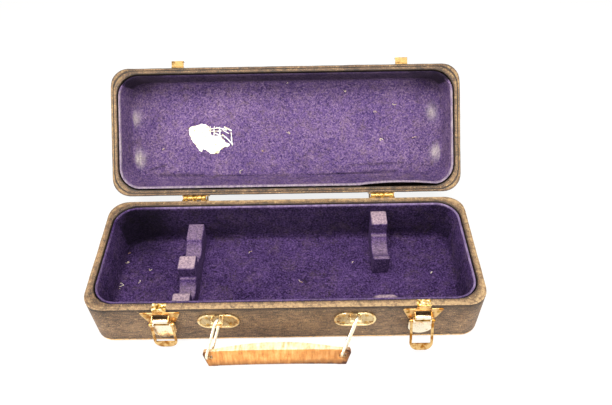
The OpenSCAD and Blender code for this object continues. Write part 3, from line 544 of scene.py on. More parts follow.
# %% Waves, creases and the part that has come loose
def waves(points, height, amount, seed):
    """Moves the velvet side of a tray in and out a little; its rim and back stay in place."""
    for i, (x, y, z) in enumerate(points.copy()):
        shown = min(1, max(0, (z - LINING_T + 0.2) / 0.2)) * min(1, max(0, (height - 2 - z) / 4))
        n = noise.fractal(Vector((x / 38, y / 26, z / 20 + seed)), 1.0, 2.0, 3)
        on_floor = max(0.0, 1 - (z - LINING_T) / 4)
        points[i, 2] += shown * amount * n * on_floor
        flow = shown * amount * 0.8 * n * (1 - on_floor)
        points[i, 0] -= flow * x / 170
        points[i, 1] -= flow * math.copysign(1, y)


def away_from(points, start, end):
    """Distance of each point from a line between two marks, seen from above."""
    a, b = np.array(start[:2]), np.array(end[:2])
    along = np.clip(((points[:, :2] - a) @ (b - a)) / ((b - a) @ (b - a)), 0, 1)
    return np.linalg.norm(points[:, :2] - a - along[:, None] * (b - a), axis=1)


LID_FLOOR = LID_Z + LID_H - LID_PANEL_T - LINING_T
BASE_FLOOR = BASE_FLOOR_T + LINING_T
# Creases in the lid: the pixels of both ends, and the depth in millimetres
CREASES = [((158, 175), (203, 175), 0.9), ((216, 176), (290, 176.5), 0.8), ((285, 177), (338, 174), 0.9),
           ((338, 174), (397, 170.5), 0.9), ((351, 165), (403, 162.6), 0.5), ((285, 182.5), (338, 180), 0.7),
           ((150, 170), (166, 165), 0.5)]
# Places where the joints have rubbed the velvet: the pixel of the middle and how strong the mark is
RUBBED = [((135.5, 118), 0.5), ((140, 159), 0.8), ((432, 112), 0.45), ((436, 152), 0.65)]
LOOSE_FROM, LOOSE_TO, LOOSE_BY = 74.0, 152.0, 2.6
# No tufts stand on this much of a lining's edge, where the shut lid would crush them
EDGE_BARE = 3.0

lid_lining_h = LID_H - LID_PANEL_T - LINING_DROP
points, quads, wear = skin(lining_rows(lid_lining_h, LID_FLARE), close_first=36, close_last=3)
waves(points, lid_lining_h, 0.6, 11.0)
on_floor = np.clip(1 - (points[:, 2] - LINING_T - 0.6) / 3, 0, 1) * (points[:, 2] > LINING_T - 1)
for start, end, depth in CREASES:
    gap = away_from(points, mark_on(start, LID_FLOOR, OPEN), mark_on(end, LID_FLOOR, OPEN))
    points[:, 2] += on_floor * depth * (0.7 * np.exp(-((gap - 2.2) / 1.3) ** 2) - np.exp(-(gap / 1.0) ** 2) * 0.4)
    # Painted shade along each crease
    wear -= on_floor * 0.55 * np.exp(-(gap / 1.2) ** 2)
for pixel, strength in RUBBED:
    middle = mark_on(pixel, LID_FLOOR, OPEN)
    away = ((points[:, 0] - middle.x) / 5.0) ** 2 + ((points[:, 1] - middle.y) / 7.5) ** 2
    wear += on_floor * strength * np.exp(-away)
risen = np.clip((points[:, 2] - LINING_T) / 10, 0, 1)
inner_side = points[:, 2] > LINING_T - 0.5
hinge_side = points[:, 1] > 40
# Painted shade: the far wall of the open lid, which faces down, darkens as it rises
wear = np.where(inner_side & (points[:, 1] < -48), np.minimum(wear, 0) - 0.85 * risen, wear)
# Painted shade: the corners of the lining are darkened, the far ones most
corner = np.clip((np.hypot(points[:, 0] / 168, points[:, 1] / 62) - 1.14) / 0.2, 0, 1)
wear -= inner_side * corner * np.where(points[:, 1] < 0, 0.8, 0.15)
along_loose = np.clip((points[:, 0] - LOOSE_FROM) / (LOOSE_TO - LOOSE_FROM), 0, 1)
lifted = np.sin(along_loose * math.pi) ** 0.7 * hinge_side * np.clip(points[:, 2] / lid_lining_h, 0, 1) ** 3
points[:, 1] -= LOOSE_BY * lifted
pile = (inner_side & (points[:, 2] < lid_lining_h - EDGE_BARE) & (wear > -0.9)).astype(float)
points[:, 2] = LID_Z + LID_H - LID_PANEL_T - points[:, 2]
lid_lining = finish_mesh("lid_velvet", points, quads, {"wear": wear, "pile": pile}, OPEN)
place_piece(lid_lining, lid_velvet, "lid", "velvet", "lid_lining")

# %% Build the base lining
base_lining_h = BASE_H - BASE_FLOOR_T - LINING_DROP
points, quads, wear = skin(lining_rows(base_lining_h, BASE_FLARE), close_first=16, close_last=3)
waves(points, base_lining_h, 0.5, 3.0)
inner_side = points[:, 2] > LINING_T - 0.5
risen = np.clip((points[:, 2] - LINING_T) / 8, 0, 1)
high = np.clip((points[:, 2] - base_lining_h * 0.55) / (base_lining_h * 0.45), 0, 1)
back_side, end_side = points[:, 1] > 40, abs(points[:, 0]) > 160
wear = np.where(points[:, 2] > base_lining_h - 2, wear * np.where(back_side | (points[:, 0] > 160), 2.0, 0.6), wear)
below_edge = inner_side & (points[:, 2] < base_lining_h - 2)
# Painted shade: the walls are darkened, the back wall most and the ends only low down
wear -= below_edge * risen * np.where(back_side, 0.62, np.where(end_side, 0.15, 0.45)) * (1 - high * end_side)
# Painted shade: the back left corner is darkened most
wear -= inner_side * 0.7 * np.exp(-(((points[:, 0] + 150) / 26) ** 2 + ((points[:, 1] - 48) / 24) ** 2))
pile = (inner_side & (points[:, 2] < base_lining_h - EDGE_BARE) & (wear > -0.95)).astype(float)
points[:, 2] += BASE_FLOOR_T
base_lining = finish_mesh("base_velvet", points, quads, {"wear": wear, "pile": pile})
place_piece(base_lining, base_velvet, "base", "velvet", "base_lining")

# %% [markdown]
# ## Loose tufts
# Pressed velvet is never smooth: single tufts stand out of it and catch the light. They repeat
# over a surface, so Geometry Nodes make them. The tree scatters points, puts a short bent strand
# on each, turned at random, and gives each strand its own shade for the material to read.

# %% Grow strands on a surface with Geometry Nodes
def geometry_tree(name, sizes):
    """A tree with a geometry input and output and named inputs for its sizes."""
    tree = bpy.data.node_groups.new(name, "GeometryNodeTree")
    tree.interface.new_socket("Geometry", in_out="INPUT", socket_type="NodeSocketGeometry")
    tree.interface.new_socket("Geometry", in_out="OUTPUT", socket_type="NodeSocketGeometry")
    for key, kind in sizes.items():
        tree.interface.new_socket(key, in_out="INPUT", socket_type="NodeSocket" + kind)
    return tree, add(tree, "NodeGroupInput").outputs


def end_tree(tree, instances, finish):
    """Real geometry with its material, sent to the output."""
    solid = add(tree, "GeometryNodeRealizeInstances", {"Geometry": instances}).outputs[0]
    dressed = add(tree, "GeometryNodeSetMaterial", {"Geometry": solid, "Material": finish}).outputs[0]
    add(tree, "NodeGroupOutput", {"Geometry": dressed})


def grow(tree, name, mesh, **inputs):
    """Runs a tree on a copy of a mesh and keeps the result as a plain mesh."""
    held = bpy.data.objects.new("held", mesh.copy())
    bpy.context.collection.objects.link(held)
    modifier = held.modifiers.new("nodes", "NODES")
    modifier.node_group = tree
    for socket in tree.interface.items_tree:
        if socket.in_out == "INPUT" and socket.name in inputs:
            modifier[socket.identifier] = inputs[socket.name]
    grown = bpy.data.meshes.new_from_object(held.evaluated_get(bpy.context.evaluated_depsgraph_get()))
    bpy.data.objects.remove(held)
    grown.name = name
    made = bpy.data.objects.new(name, grown)
    bpy.context.collection.objects.link(made)
    print(name, len(grown.polygons), "faces")
    return made


strand_tree, given = geometry_tree("loose_strands", {
    "Density": "Float", "Length": "Float", "Thickness": "Float", "Contrast": "Float", "Seed": "Int",
    "Material": "Material"})
pile = add(strand_tree, "GeometryNodeInputNamedAttribute", {"Name": "pile"}, data_type="FLOAT").outputs[0]
density = add(strand_tree, "ShaderNodeMath", {0: pile, 1: given["Density"]}, operation="MULTIPLY").outputs[0]
scattered = add(strand_tree, "GeometryNodeDistributePointsOnFaces",
                {"Mesh": given["Geometry"], "Density": density, "Seed": given["Seed"]})
less = add(strand_tree, "ShaderNodeMath", {0: given["Contrast"], 1: -1.0}, operation="MULTIPLY").outputs[0]
shade = add(strand_tree, "FunctionNodeRandomValue", {2: less, 3: given["Contrast"], "Seed": given["Seed"]},
            data_type="FLOAT").outputs[1]
marked = add(strand_tree, "GeometryNodeStoreNamedAttribute",
             {"Geometry": scattered.outputs["Points"], "Name": "shade", "Value": shade}, data_type="FLOAT").outputs[0]
bend = add(strand_tree, "GeometryNodeCurveQuadraticBezier",
           {"Resolution": 3, "Start": (0, 0, -0.06), "Middle": (0.5, 0.4, 0.3), "End": (1, 0, 0.05)}).outputs[0]
relative = add(strand_tree, "ShaderNodeMath", {0: given["Thickness"], 1: given["Length"]}, operation="DIVIDE").outputs[0]
outline = add(strand_tree, "GeometryNodeCurvePrimitiveCircle", {"Resolution": 3, "Radius": relative}).outputs[0]
strand = add(strand_tree, "GeometryNodeCurveToMesh",
             {"Curve": bend, "Profile Curve": outline, "Fill Caps": True}).outputs[0]
spin = add(strand_tree, "FunctionNodeRandomValue", {0: (0, 0, 0), 1: (0, 0, 2 * math.pi), "Seed": given["Seed"]},
           data_type="FLOAT_VECTOR").outputs[0]
turn = add(strand_tree, "FunctionNodeEulerToRotation", {"Euler": spin}).outputs[0]
facing = add(strand_tree, "FunctionNodeRotateRotation",
             {"Rotation": scattered.outputs["Rotation"], "Rotate By": turn}, rotation_space="LOCAL").outputs[0]
planted = add(strand_tree, "GeometryNodeInstanceOnPoints",
              {"Points": marked, "Instance": strand, "Rotation": facing, "Scale": given["Length"]}).outputs[0]
end_tree(strand_tree, planted, given["Material"])

for name, lining, finish, body, density, contrast in (
        ("lid_tufts", lid_lining, lid_velvet, "lid", 150000.0, 0.42),
        ("base_tufts", base_lining, base_velvet, "base", 90000.0, 0.4)):
    tufts = grow(strand_tree, name, lining.data, Density=density, Length=2.6 * MM, Thickness=0.13 * MM,
                 Contrast=contrast, Seed=7, Material=finish)
    place_piece(tufts, None, body, "velvet")

# %% [markdown]
# ## Ribs and rest
# The ribs are wood under velvet, so their edges are round and fuzzy. A fine voxel copy of each
# solid is smoothed and then roughened with noise, which keeps the place and the size exactly.
# Their tops are paler, partly rubbed and partly painted light from above, and their sides are
# painted darker as shade.

# %% Soften a solid into a cloth-covered block
def evaluated_copy(source, name, modifiers):
    """A plain mesh of the source's welded mesh with these modifiers applied."""
    held = bpy.data.objects.new("held", source.data.copy())
    bpy.context.collection.objects.link(held)
    for kind, settings in [("WELD", {"merge_threshold": 1e-6})] + modifiers:
        modifier = held.modifiers.new(kind.lower(), kind)
        for key, value in settings.items():
            setattr(modifier, key, value)
    mesh = bpy.data.meshes.new_from_object(held.evaluated_get(bpy.context.evaluated_depsgraph_get()))
    bpy.data.objects.remove(held)
    mesh.name = name
    mesh.materials.clear()
    made = bpy.data.objects.new(name, mesh)
    bpy.context.collection.objects.link(made)
    return made


def soft_copy(source, name, voxel=0.8, smooth=6, fuzz=0.12, fuzz_size=1.6):
    made = evaluated_copy(source, name, [
        ("REMESH", {"mode": "VOXEL", "voxel_size": voxel * MM}),
        ("SMOOTH", {"factor": 0.5, "iterations": smooth}),
    ])
    for vertex, normal in zip(made.data.vertices, [v.normal.copy() for v in made.data.vertices]):
        vertex.co += normal * noise.noise(vertex.co / (fuzz_size * MM)) * fuzz * MM
    made.data.polygons.foreach_set("use_smooth", [True] * len(made.data.polygons))
    print(name, len(made.data.polygons), "faces")
    return made


def set_attribute(piece, name, values):
    piece.data.attributes.new(name, "FLOAT", "POINT").data.foreach_set("value", values)


TOP_RUB_AND_LIGHT, SIDE_SHADE = 0.9, -0.35
for node in ("left_cradle", "right_cradle", "front_rest"):
    block = soft_copy(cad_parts[node], node + "_velvet")
    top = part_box(node)[1].z
    worn = []
    for vertex in block.data.vertices:
        # Faces turned up are paler, partly rubbed and partly painted light from above; the rest are painted darker as
        # shade
        up_facing = max(0.0, vertex.normal.z - 0.3) / 0.7
        near_top = max(0.0, 1 - (top - vertex.co.z) / (14 * MM))
        worn.append(TOP_RUB_AND_LIGHT * up_facing * (0.35 + 0.65 * near_top) + SIDE_SHADE * (1 - up_facing))
    set_attribute(block, "wear", worn)
    place_piece(block, block_velvet, "base", "worn_velvet", node)

# %% [markdown]
# ## Torn patch
# In the lid a patch of velvet is gone, and the white wadding on the card shows. Its outline was
# marked on the photograph. The outline is filled and given a thickness, and a voxel copy with
# noise makes it lumpy. Threads of the velvet's ground still cross the upper right of the hole.

# %% The wadding in the tear
TEAR = [(188.9, 128.2), (193.2, 126.0), (198.0, 125.4), (203.0, 124.2), (207.6, 125.4), (209.5, 127.5),
        (210.0, 132.8), (212.5, 135.9), (218.7, 135.7), (222.1, 137.8), (225.9, 142.0), (230.1, 144.5),
        (228.6, 146.6), (222.9, 148.1), (219.8, 150.1), (219.4, 153.3), (215.6, 153.7), (212.9, 154.3),
        (209.9, 153.3), (206.8, 150.4), (203.3, 149.1), (202.0, 152.2), (199.9, 151.6), (196.5, 145.5),
        (193.4, 142.4), (191.1, 139.0), (189.6, 135.1)]
TEAR_OUT, TEAR_IN = 1.0, 0.6


def frayed_outline(corners, step=0.7, ragged=0.8):
    """Walks round the corners in small steps and moves each point sideways at random."""
    out = []
    for i, start in enumerate(corners):
        end = corners[(i + 1) % len(corners)]
        side = Vector((start.y - end.y, end.x - start.x)).normalized()
        count = max(1, round((end - start).length / step))
        for j in range(count):
            place = start.lerp(end, j / count)
            n = noise.fractal(Vector((place.x * 0.7, place.y * 0.7, 4.0)), 0.7, 2.0, 3)
            out.append((place.x + side.x * n * ragged, place.y + side.y * n * ragged))
    return out


def slab(name, outline, low, high, turn):
    """A flat closed plate between two heights with this outline."""
    count = len(outline)
    points = [(x, y, z) for z in (low, high) for x, y in outline]
    faces = [tuple(range(count)), tuple(range(2 * count - 1, count - 1, -1))]
    faces += [(i, (i + 1) % count, count + (i + 1) % count, count + i) for i in range(count)]
    return finish_mesh(name, points, faces, turn=turn)


tear_corners = [mark_on(pixel, LID_FLOOR, OPEN) for pixel in TEAR]
plate = slab("tear_plate", frayed_outline(tear_corners), LID_FLOOR - TEAR_OUT, LID_FLOOR + TEAR_IN, OPEN)
wadding = soft_copy(plate, "torn_wadding", voxel=0.45, smooth=4, fuzz=0.5, fuzz_size=2.2)
bpy.data.objects.remove(plate)

cotton, tree, shader = new_material("cotton_wadding", Roughness=0.95)
shader.inputs["Specular IOR Level"].default_value = 0.1
lumps = add(tree, "ShaderNodeTexNoise", {"Vector": own_place(tree), "Scale": 1 / 0.004, "Detail": 5.0}).outputs[0]
cream = add(tree, "ShaderNodeValToRGB", {0: lumps},
            stops=[(0.32, "#c9b486"), (0.42, "#efe4c6"), (0.56, "#fffefa")]).outputs[0]
tree.links.new(cream, shader.inputs["Base Color"])
place_piece(wadding, cotton, "lid", "velvet")


# %% Threads, lint and frayed edges as thin closed tubes
def tube(path, radius, sides=5):
    """Points and faces of a closed tube along a path."""
    points, faces = [], []
    count = len(path)
    for i, place in enumerate(path):
        ahead = (path[min(i + 1, count - 1)] - path[max(i - 1, 0)]).normalized()
        first = ahead.orthogonal().normalized() if i == 0 else (first - ahead * first.dot(ahead)).normalized()
        second = ahead.cross(first)
        for k in range(sides):
            a = 2 * math.pi * k / sides
            points.append(place + (first * math.cos(a) + second * math.sin(a)) * radius)
    for i in range(count - 1):
        for k in range(sides):
            a, b = i * sides + k, i * sides + (k + 1) % sides
            faces.append((a, b, b + sides, a + sides))
    faces += [tuple(range(sides)), tuple(range(count * sides - 1, (count - 1) * sides - 1, -1))]
    return points, faces


def threads(name, paths, radius, turn=None):
    points, faces = [], []
    for path in paths:
        more, ends = tube(path, radius)
        faces += [tuple(i + len(points) for i in face) for face in ends]
        points += more
    return finish_mesh(name, points, faces, turn=turn, merge=0.0001)


def wandering(start, heading, length, curl, dice, lift, step=0.6):
    """A path that leaves start with this heading in the plane and turns a little at random."""
    path, place, angle = [], Vector(start), heading
    count = max(3, round(length / step))
    for i in range(count + 1):
        path.append(place + Vector((0, 0, lift * math.sin(math.pi * i / count))))
        angle += dice.uniform(-curl, curl)
        place = place + Vector((math.cos(angle), math.sin(angle), 0)) * step
    return path


dice = random.Random(5)
# Ends of the threads that still cross the hole, as pixels
CROSSING = [((210, 127), (210.5, 135.5)), ((214.2, 126.5), (213.8, 135.5)), ((219.3, 127), (219.6, 136)),
            ((216.5, 127.3), (227.5, 130)), ((223.5, 130.2), (229.5, 133.5)), ((211, 131.5), (222, 131)),
            ((231, 132.5), (232, 145)), ((222, 134.5), (230, 141.5)), ((209.5, 129), (218, 128)),
            ((224, 127), (232, 131)), ((226, 137), (231.5, 143.5)), ((215, 133), (222, 136.5))]
paths = []
for start, end in CROSSING:
    a, b = mark_on(start, LID_FLOOR, OPEN), mark_on(end, LID_FLOOR, OPEN)
    for strand_number in range(2):
        offset = Vector((dice.uniform(-0.5, 0.5), dice.uniform(-0.5, 0.5), 0))
        path = []
        for i in range(9):
            sway = Vector((dice.uniform(-0.25, 0.25), dice.uniform(-0.25, 0.25), 0))
            path.append(a.lerp(b, i / 8) + offset + sway - Vector((0, 0, 0.5 + 0.5 * math.sin(math.pi * i / 8))))
        paths.append(path)
crossing = threads("torn_threads", paths, 0.34, OPEN)
place_piece(crossing, cotton, "lid", "velvet")

# Lint: the pixel and the length in millimetres
LID_LINT = [((287, 81.5), 3.5), ((380, 138), 4), ((375, 111), 3), ((394, 105), 3), ((289, 134), 3.5),
            ((289, 183.5), 4), ((322, 182.5), 4), ((344, 181.5), 4), ((300, 176), 3), ((262, 150), 2.5),
            ((345, 92), 2.5), ((163, 150), 2.5), ((240, 171), 3), ((414, 137), 2.5)]
BASE_LINT = [((150, 271), 3), ((461, 290), 3.5), ((128, 262), 2.5), ((140, 282), 2.5), ((122, 284), 3),
             ((250, 252), 2.5), ((300, 282), 3), ((352, 262), 2.5), ((432, 272), 3)]
cotton_thread, tree, shader = new_material("cotton_thread", Roughness=0.9)
fluff = add(tree, "ShaderNodeTexNoise", {"Vector": own_place(tree), "Scale": 1 / 0.006, "Detail": 2.0}).outputs[0]
undyed = add(tree, "ShaderNodeValToRGB", {0: fluff}, stops=[(0.35, "#b98f5e"), (0.6, "#efe3cc")]).outputs[0]
tree.links.new(undyed, shader.inputs["Base Color"])
for name, marks, floor_z, turn, body in (("lid_lint", LID_LINT, LID_FLOOR, OPEN, "lid"),
                                         ("base_lint", BASE_LINT, BASE_FLOOR, None, "base")):
    outward = -1 if body == "lid" else 1
    paths = []
    for pixel, length in marks:
        start = mark_on(pixel, floor_z, turn or Matrix.Identity(4)) + Vector((0, 0, 0.5 * outward))
        for curl in (0.9, 1.3):
            paths.append(wandering(start, dice.uniform(0, 6.28), length, curl, dice, 0.5 * outward))
    lint = threads(name, paths, 0.22, turn)
    place_piece(lint, cotton_thread, body, "velvet")

# The floor cloth of the base has frayed along its left edge
FRAYED = [(131, 241), (127, 250), (123, 262), (120, 275), (117, 287), (115.5, 294)]
paths = []
for start, end in zip(FRAYED, FRAYED[1:]):
    a, b = mark_on(start, BASE_FLOOR), mark_on(end, BASE_FLOOR)
    for i in range(9):
        place = a.lerp(b, dice.random()) + Vector((dice.uniform(-0.8, 0.8), 0, 0.35))
        paths.append(wandering(place, math.radians(90) + dice.uniform(-0.9, 0.9), dice.uniform(3, 9), 0.5, dice, 0.6))
frayed = threads("frayed_edge", paths, 0.17)
place_piece(frayed, cotton_thread, "base", "velvet")

# %% [markdown]
# ## Stitches
# A line of dark stitches holds the covering in the crease under the bead of the base. It follows
# a path, so a second tree walks round the path and lays one short stitch at every step.

# %% Lay stitches along the crease
stitch_tree, given = geometry_tree("stitches_on_path", {
    "Pitch": "Float", "Length": "Float", "Thickness": "Float", "Material": "Material"})
path = add(stitch_tree, "GeometryNodeMeshToCurve", {"Mesh": given["Geometry"]}).outputs[0]
steps = add(stitch_tree, "GeometryNodeCurveToPoints", {"Curve": path, "Length": given["Pitch"]}, mode="LENGTH")
ball = add(stitch_tree, "GeometryNodeMeshIcoSphere", {"Radius": 0.5, "Subdivisions": 1}).outputs[0]
size = add(stitch_tree, "ShaderNodeCombineXYZ",
           {0: given["Length"], 1: given["Thickness"], 2: given["Thickness"]}).outputs[0]
along = add(stitch_tree, "FunctionNodeAlignRotationToVector", {"Vector": steps.outputs["Tangent"]}, axis="X").outputs[0]
laid = add(stitch_tree, "GeometryNodeInstanceOnPoints",
           {"Points": steps.outputs["Points"], "Instance": ball, "Rotation": along, "Scale": size}).outputs[0]
end_tree(stitch_tree, laid, given["Material"])

waxed, tree, shader = new_material("waxed_linen_thread", Roughness=0.6)
twist = add(tree, "ShaderNodeTexWave", {"Vector": own_place(tree), "Scale": 1 / 0.0012, "Distortion": 2.0}).outputs[0]
brown = add(tree, "ShaderNodeValToRGB", {0: twist}, stops=[(0.2, "#20140b"), (0.8, "#4a3420")]).outputs[0]
tree.links.new(brown, shader.inputs["Base Color"])
STITCH_INSET, CREASE_MIDDLE = 0.15, 49.0
ring = rounded_ring(outside_row(STITCH_INSET, CREASE_MIDDLE), spread(-150, 150), spread(-45, 45), 14)
loop = bpy.data.meshes.new("stitch_path")
loop.from_pydata([tuple(c * MM for c in p) for p in ring], [(i, (i + 1) % len(ring)) for i in range(len(ring))], [])
stitches = grow(stitch_tree, "rim_stitches", loop, Pitch=3.2 * MM, Length=2.2 * MM, Thickness=0.6 * MM, Material=waxed)
place_piece(stitches, None, "base", "leatherette")

# %% [markdown]
# ## Metal
# The fittings are stamped from brass sheet and nickel plated. The plate is bright and slightly
# warm. Where hands have worn it the brass shows gold. Recesses are brown, partly from old polish
# and partly as painted shade. The solids stay: a weld joins their triangles and a small bevel gives
# the edges a line of light. Recesses are found with ambient occlusion of the solid by itself.

# %% Materials for the fittings
def plated(name, bright, warm, roughness, brass_share, recess=0.8, panel_y=None):
    """panel_y is the height, toward the front, of a sunk panel that is brown all over, for polish and as painted shade.
    """
    made, tree, shader = new_material(name, Metallic=1.0)
    place = own_place(tree)
    blotches = add(tree, "ShaderNodeTexNoise", {"Vector": place, "Scale": 1 / 0.0055, "Detail": 5.0,
                                                "Roughness": 0.65}).outputs[0]
    worn = add(tree, "ShaderNodeMapRange", {0: blotches, 1: 0.62 - brass_share, 2: 0.74 - brass_share}).outputs[0]
    metal = add(tree, "ShaderNodeMix", {0: worn, 6: linear(bright), 7: linear(warm)}, data_type="RGBA").outputs[2]
    openness = add(tree, "ShaderNodeAmbientOcclusion", {"Distance": 0.0035}, samples=8, only_local=True).outputs["AO"]
    hidden = add(tree, "ShaderNodeMapRange", {0: openness, 1: 0.45, 2: 0.95, 3: recess, 4: 0.0}).outputs[0]
    if panel_y is not None:
        depth = add(tree, "ShaderNodeSeparateXYZ", {0: place}).outputs["Y"]
        sunk = add(tree, "ShaderNodeMapRange", {0: depth, 1: (panel_y - 0.4) * MM, 2: (panel_y - 0.15) * MM,
                                                3: 0.0, 4: 0.42}).outputs[0]
        hidden = add(tree, "ShaderNodeMath", {0: hidden, 1: sunk}, operation="MAXIMUM").outputs[0]
    crust = add(tree, "ShaderNodeMapRange", {0: blotches, 1: 0.3, 2: 0.6, 3: 0.6, 4: 1.2}).outputs[0]
    # Brown in recesses: old polish and painted shade together
    polish_and_shade = add(tree, "ShaderNodeMath", {0: hidden, 1: crust}, operation="MULTIPLY", use_clamp=True).outputs[0]
    stained = add(tree, "ShaderNodeMix", {0: polish_and_shade, 6: metal, 7: linear("#56300d")}, data_type="RGBA").outputs[2]
    dents = add(tree, "ShaderNodeTexNoise", {"Vector": place, "Scale": 1 / 0.0022, "Detail": 3.0}).outputs[0]
    foil = add(tree, "ShaderNodeValToRGB", {0: dents},
               stops=[(0.36, "#6e4415"), (0.5, "#cf9f49"), (0.62, "#f3e2ae")]).outputs[0]
    wear = add(tree, "ShaderNodeAttribute", attribute_name="wear").outputs["Fac"]
    colour = add(tree, "ShaderNodeMix", {0: wear, 6: stained, 7: foil}, data_type="RGBA").outputs[2]
    tree.links.new(colour, shader.inputs["Base Color"])
    scratches = add(tree, "ShaderNodeTexNoise", {"Vector": place, "Scale": 1 / 0.0012, "Detail": 4.0}).outputs[0]
    rough = add(tree, "ShaderNodeMapRange", {0: scratches, 3: roughness - 0.08, 4: roughness + 0.14}).outputs[0]
    tree.links.new(rough, shader.inputs["Roughness"])
    bump = add(tree, "ShaderNodeBump", {"Height": blotches, "Strength": 0.35, "Distance": 0.0004})
    tree.links.new(bump.outputs[0], shader.inputs["Normal"])
    return made


nickel = plated("nickel_plated_brass", "#fbf0d6", "#dba956", 0.24, 0.05, recess=0.6)
worn_nickel = plated("nickel_worn_to_brass", "#e2bb7c", "#a66c26", 0.32, 0.14)
handle_nickel = plated("nickel_with_old_polish", "#fbe0a8", "#cf9643", 0.26, 0.10, panel_y=-65.0)
gilt = plated("stamped_brass", "#c49a56", "#85601f", 0.34, 0.14)
tarnished = plated("tarnished_brass", "#8f7347", "#5c4424", 0.38, 0.12)


# %% Give each metal solid its finish
def dress(node, finish, bevel=0.2):
    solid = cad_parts[node]
    solid.data.materials.clear()
    solid.data.materials.append(finish)
    weld = solid.modifiers.new("weld", "WELD")
    weld.merge_threshold = 1e-6
    if bevel:
        edge = solid.modifiers.new("bevel", "BEVEL")
        edge.width = bevel * MM
        edge.segments = 2
        edge.limit_method = "ANGLE"
        edge.angle_limit = math.radians(40)
        edge.use_clamp_overlap = True


SIDES = ("left", "right")
NICKEL_PARTS = ["latch_lever_" + s for s in SIDES] + ["handle_ring_" + s for s in SIDES]
WORN_PARTS = [part + s for part in ("latch_loop_", "hinge_pin_") for s in SIDES]
PANEL_PARTS = ["handle_plate_" + s for s in SIDES]
BRASS_PARTS = ["lever_pin_" + s for s in SIDES] + ["loop_pin_" + s for s in SIDES]
BRASS_PARTS += ["latch_tacks", "handle_tacks", "catch_tacks", "base_leaf_tacks", "lid_leaf_tacks"]
BRASS_PARTS += [part + s for part in ("base_leaf_", "lid_leaf_") for s in SIDES]
CATCH_PARTS = ["catch_" + s for s in SIDES]
DRESSED = ((NICKEL_PARTS, nickel), (WORN_PARTS, worn_nickel), (PANEL_PARTS, handle_nickel),
           (BRASS_PARTS, gilt), (CATCH_PARTS, tarnished))
for parts, finish in DRESSED:
    for node in parts:
        dress(node, finish, 0 if any(word in node for word in ("tacks", "ring", "pin")) else 0.2)
print(sum(len(parts) for parts, finish in DRESSED), "metal solids dressed")

# %% [markdown]
# ## Latch plates
# The plates are of thinner sheet. Years of shutting the case have crumpled the tongue that is
# folded over the rim, so each plate is a fine voxel copy whose top is pushed about by noise.

# %% Crumple the folded tongues
CRUMPLED_H, CRUMPLE, DENT = 2.4, 0.4, 2.4
for side in SIDES:
    node = "latch_plate_" + side
    plate = soft_copy(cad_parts[node], node + "_crumpled", voxel=0.28, smooth=2, fuzz=0.04, fuzz_size=1.5)
    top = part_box(node)[1].z
    folded = []
    for vertex in plate.data.vertices:
        share = min(1, max(0, 1.3 - (top - vertex.co.z) / (CRUMPLED_H * MM)))
        vertex.co += noise.noise_vector(vertex.co / (DENT * MM)) * CRUMPLE * MM * share
        folded.append(share)
    set_attribute(plate, "wear", folded)
    place_piece(plate, worn_nickel, "base", "nickel", node)

# %% [markdown]
# ## Grip
# The grip is saddle leather: a flat strip in front and a bowed strip behind, over a core. Hands
# have polished its face to orange, the hide has cracked across, and its lower edge, its ends and
# the skin round the ring holes are dark.

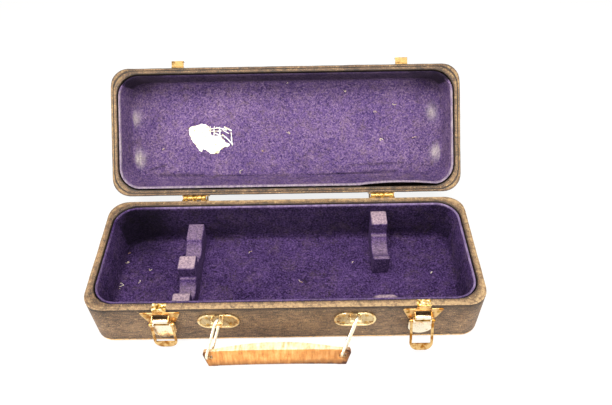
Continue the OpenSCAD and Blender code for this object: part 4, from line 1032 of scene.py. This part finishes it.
# %% The leather material and the grip
def saddle_leather(name, face, dark, pale, soiled):
    made, tree, shader = new_material(name)
    shader.inputs["Specular IOR Level"].default_value = 0.3
    place = own_place(tree)
    across = add(tree, "ShaderNodeMapping", {"Vector": place, "Scale": (1 / 0.0022, 1 / 0.012, 1 / 0.012)}).outputs[0]
    cracks = add(tree, "ShaderNodeTexNoise", {"Vector": across, "Scale": 1.0, "Detail": 4.0}).outputs[0]
    blotches = add(tree, "ShaderNodeTexNoise", {"Vector": place, "Scale": 1 / 0.009, "Detail": 6.0,
                                                "Roughness": 0.7}).outputs[0]
    both = add(tree, "ShaderNodeMath", {0: cracks, 1: blotches}, operation="ADD").outputs[0]
    half = add(tree, "ShaderNodeMath", {0: both, 1: 0.5}, operation="MULTIPLY").outputs[0]
    hide = add(tree, "ShaderNodeValToRGB", {0: half}, stops=[(0.36, dark), (0.5, face), (0.64, pale)]).outputs[0]
    wear = add(tree, "ShaderNodeAttribute", attribute_name="wear").outputs["Fac"]
    ragged = add(tree, "ShaderNodeMapRange", {0: blotches, 1: 0.3, 2: 0.7, 3: 0.5, 4: 1.4}).outputs[0]
    darkening = add(tree, "ShaderNodeMath", {0: wear, 1: ragged}, operation="MULTIPLY", use_clamp=True).outputs[0]
    colour = add(tree, "ShaderNodeMix", {0: darkening, 6: hide, 7: linear(soiled)}, data_type="RGBA").outputs[2]
    tree.links.new(colour, shader.inputs["Base Color"])
    rough = add(tree, "ShaderNodeMapRange", {0: blotches, 3: 0.4, 4: 0.7}).outputs[0]
    tree.links.new(rough, shader.inputs["Roughness"])
    bump = add(tree, "ShaderNodeBump", {"Height": both, "Strength": 0.6, "Distance": 0.0004})
    tree.links.new(bump.outputs[0], shader.inputs["Normal"])
    return made


face_leather = saddle_leather("saddle_leather", "#c68542", "#a0622a", "#dca263", "#421f08")
cut_leather = saddle_leather("cut_leather_edge", "#e4cba0", "#c49c66", "#f2e3c6", "#7c4a20")
LOW_DARKENING, END_SOIL, RIGHT_SOIL = 8.5, 9.0, 0.22
for node, finish, slot in (("grip_front", face_leather, "leather"), ("grip_core", cut_leather, "leather_core"),
                           ("grip_back", cut_leather, "leather")):
    strip = soft_copy(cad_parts[node], node + "_leather", voxel=0.4, smooth=3, fuzz=0.06, fuzz_size=1.2)
    low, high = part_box(node)
    soil = []
    for vertex in strip.data.vertices:
        # Darker towards the lower edge
        near_foot = 1 - (vertex.co.z - low.z) / (LOW_DARKENING * MM)
        near_end = 1 - min(vertex.co.x - low.x, high.x - vertex.co.x) / (END_SOIL * MM)
        at_right = RIGHT_SOIL * min(1, max(0, vertex.co.x / (30 * MM)))
        soil.append(min(1, max(0, near_foot, near_end) + (at_right if node == "grip_front" else 0)))
    set_attribute(strip, "wear", soil)
    print(node, "is", round((high.z - low.z) / MM, 1), "mm high, mean soil", round(sum(soil) / len(soil), 2))
    place_piece(strip, finish, "grip", slot, node)
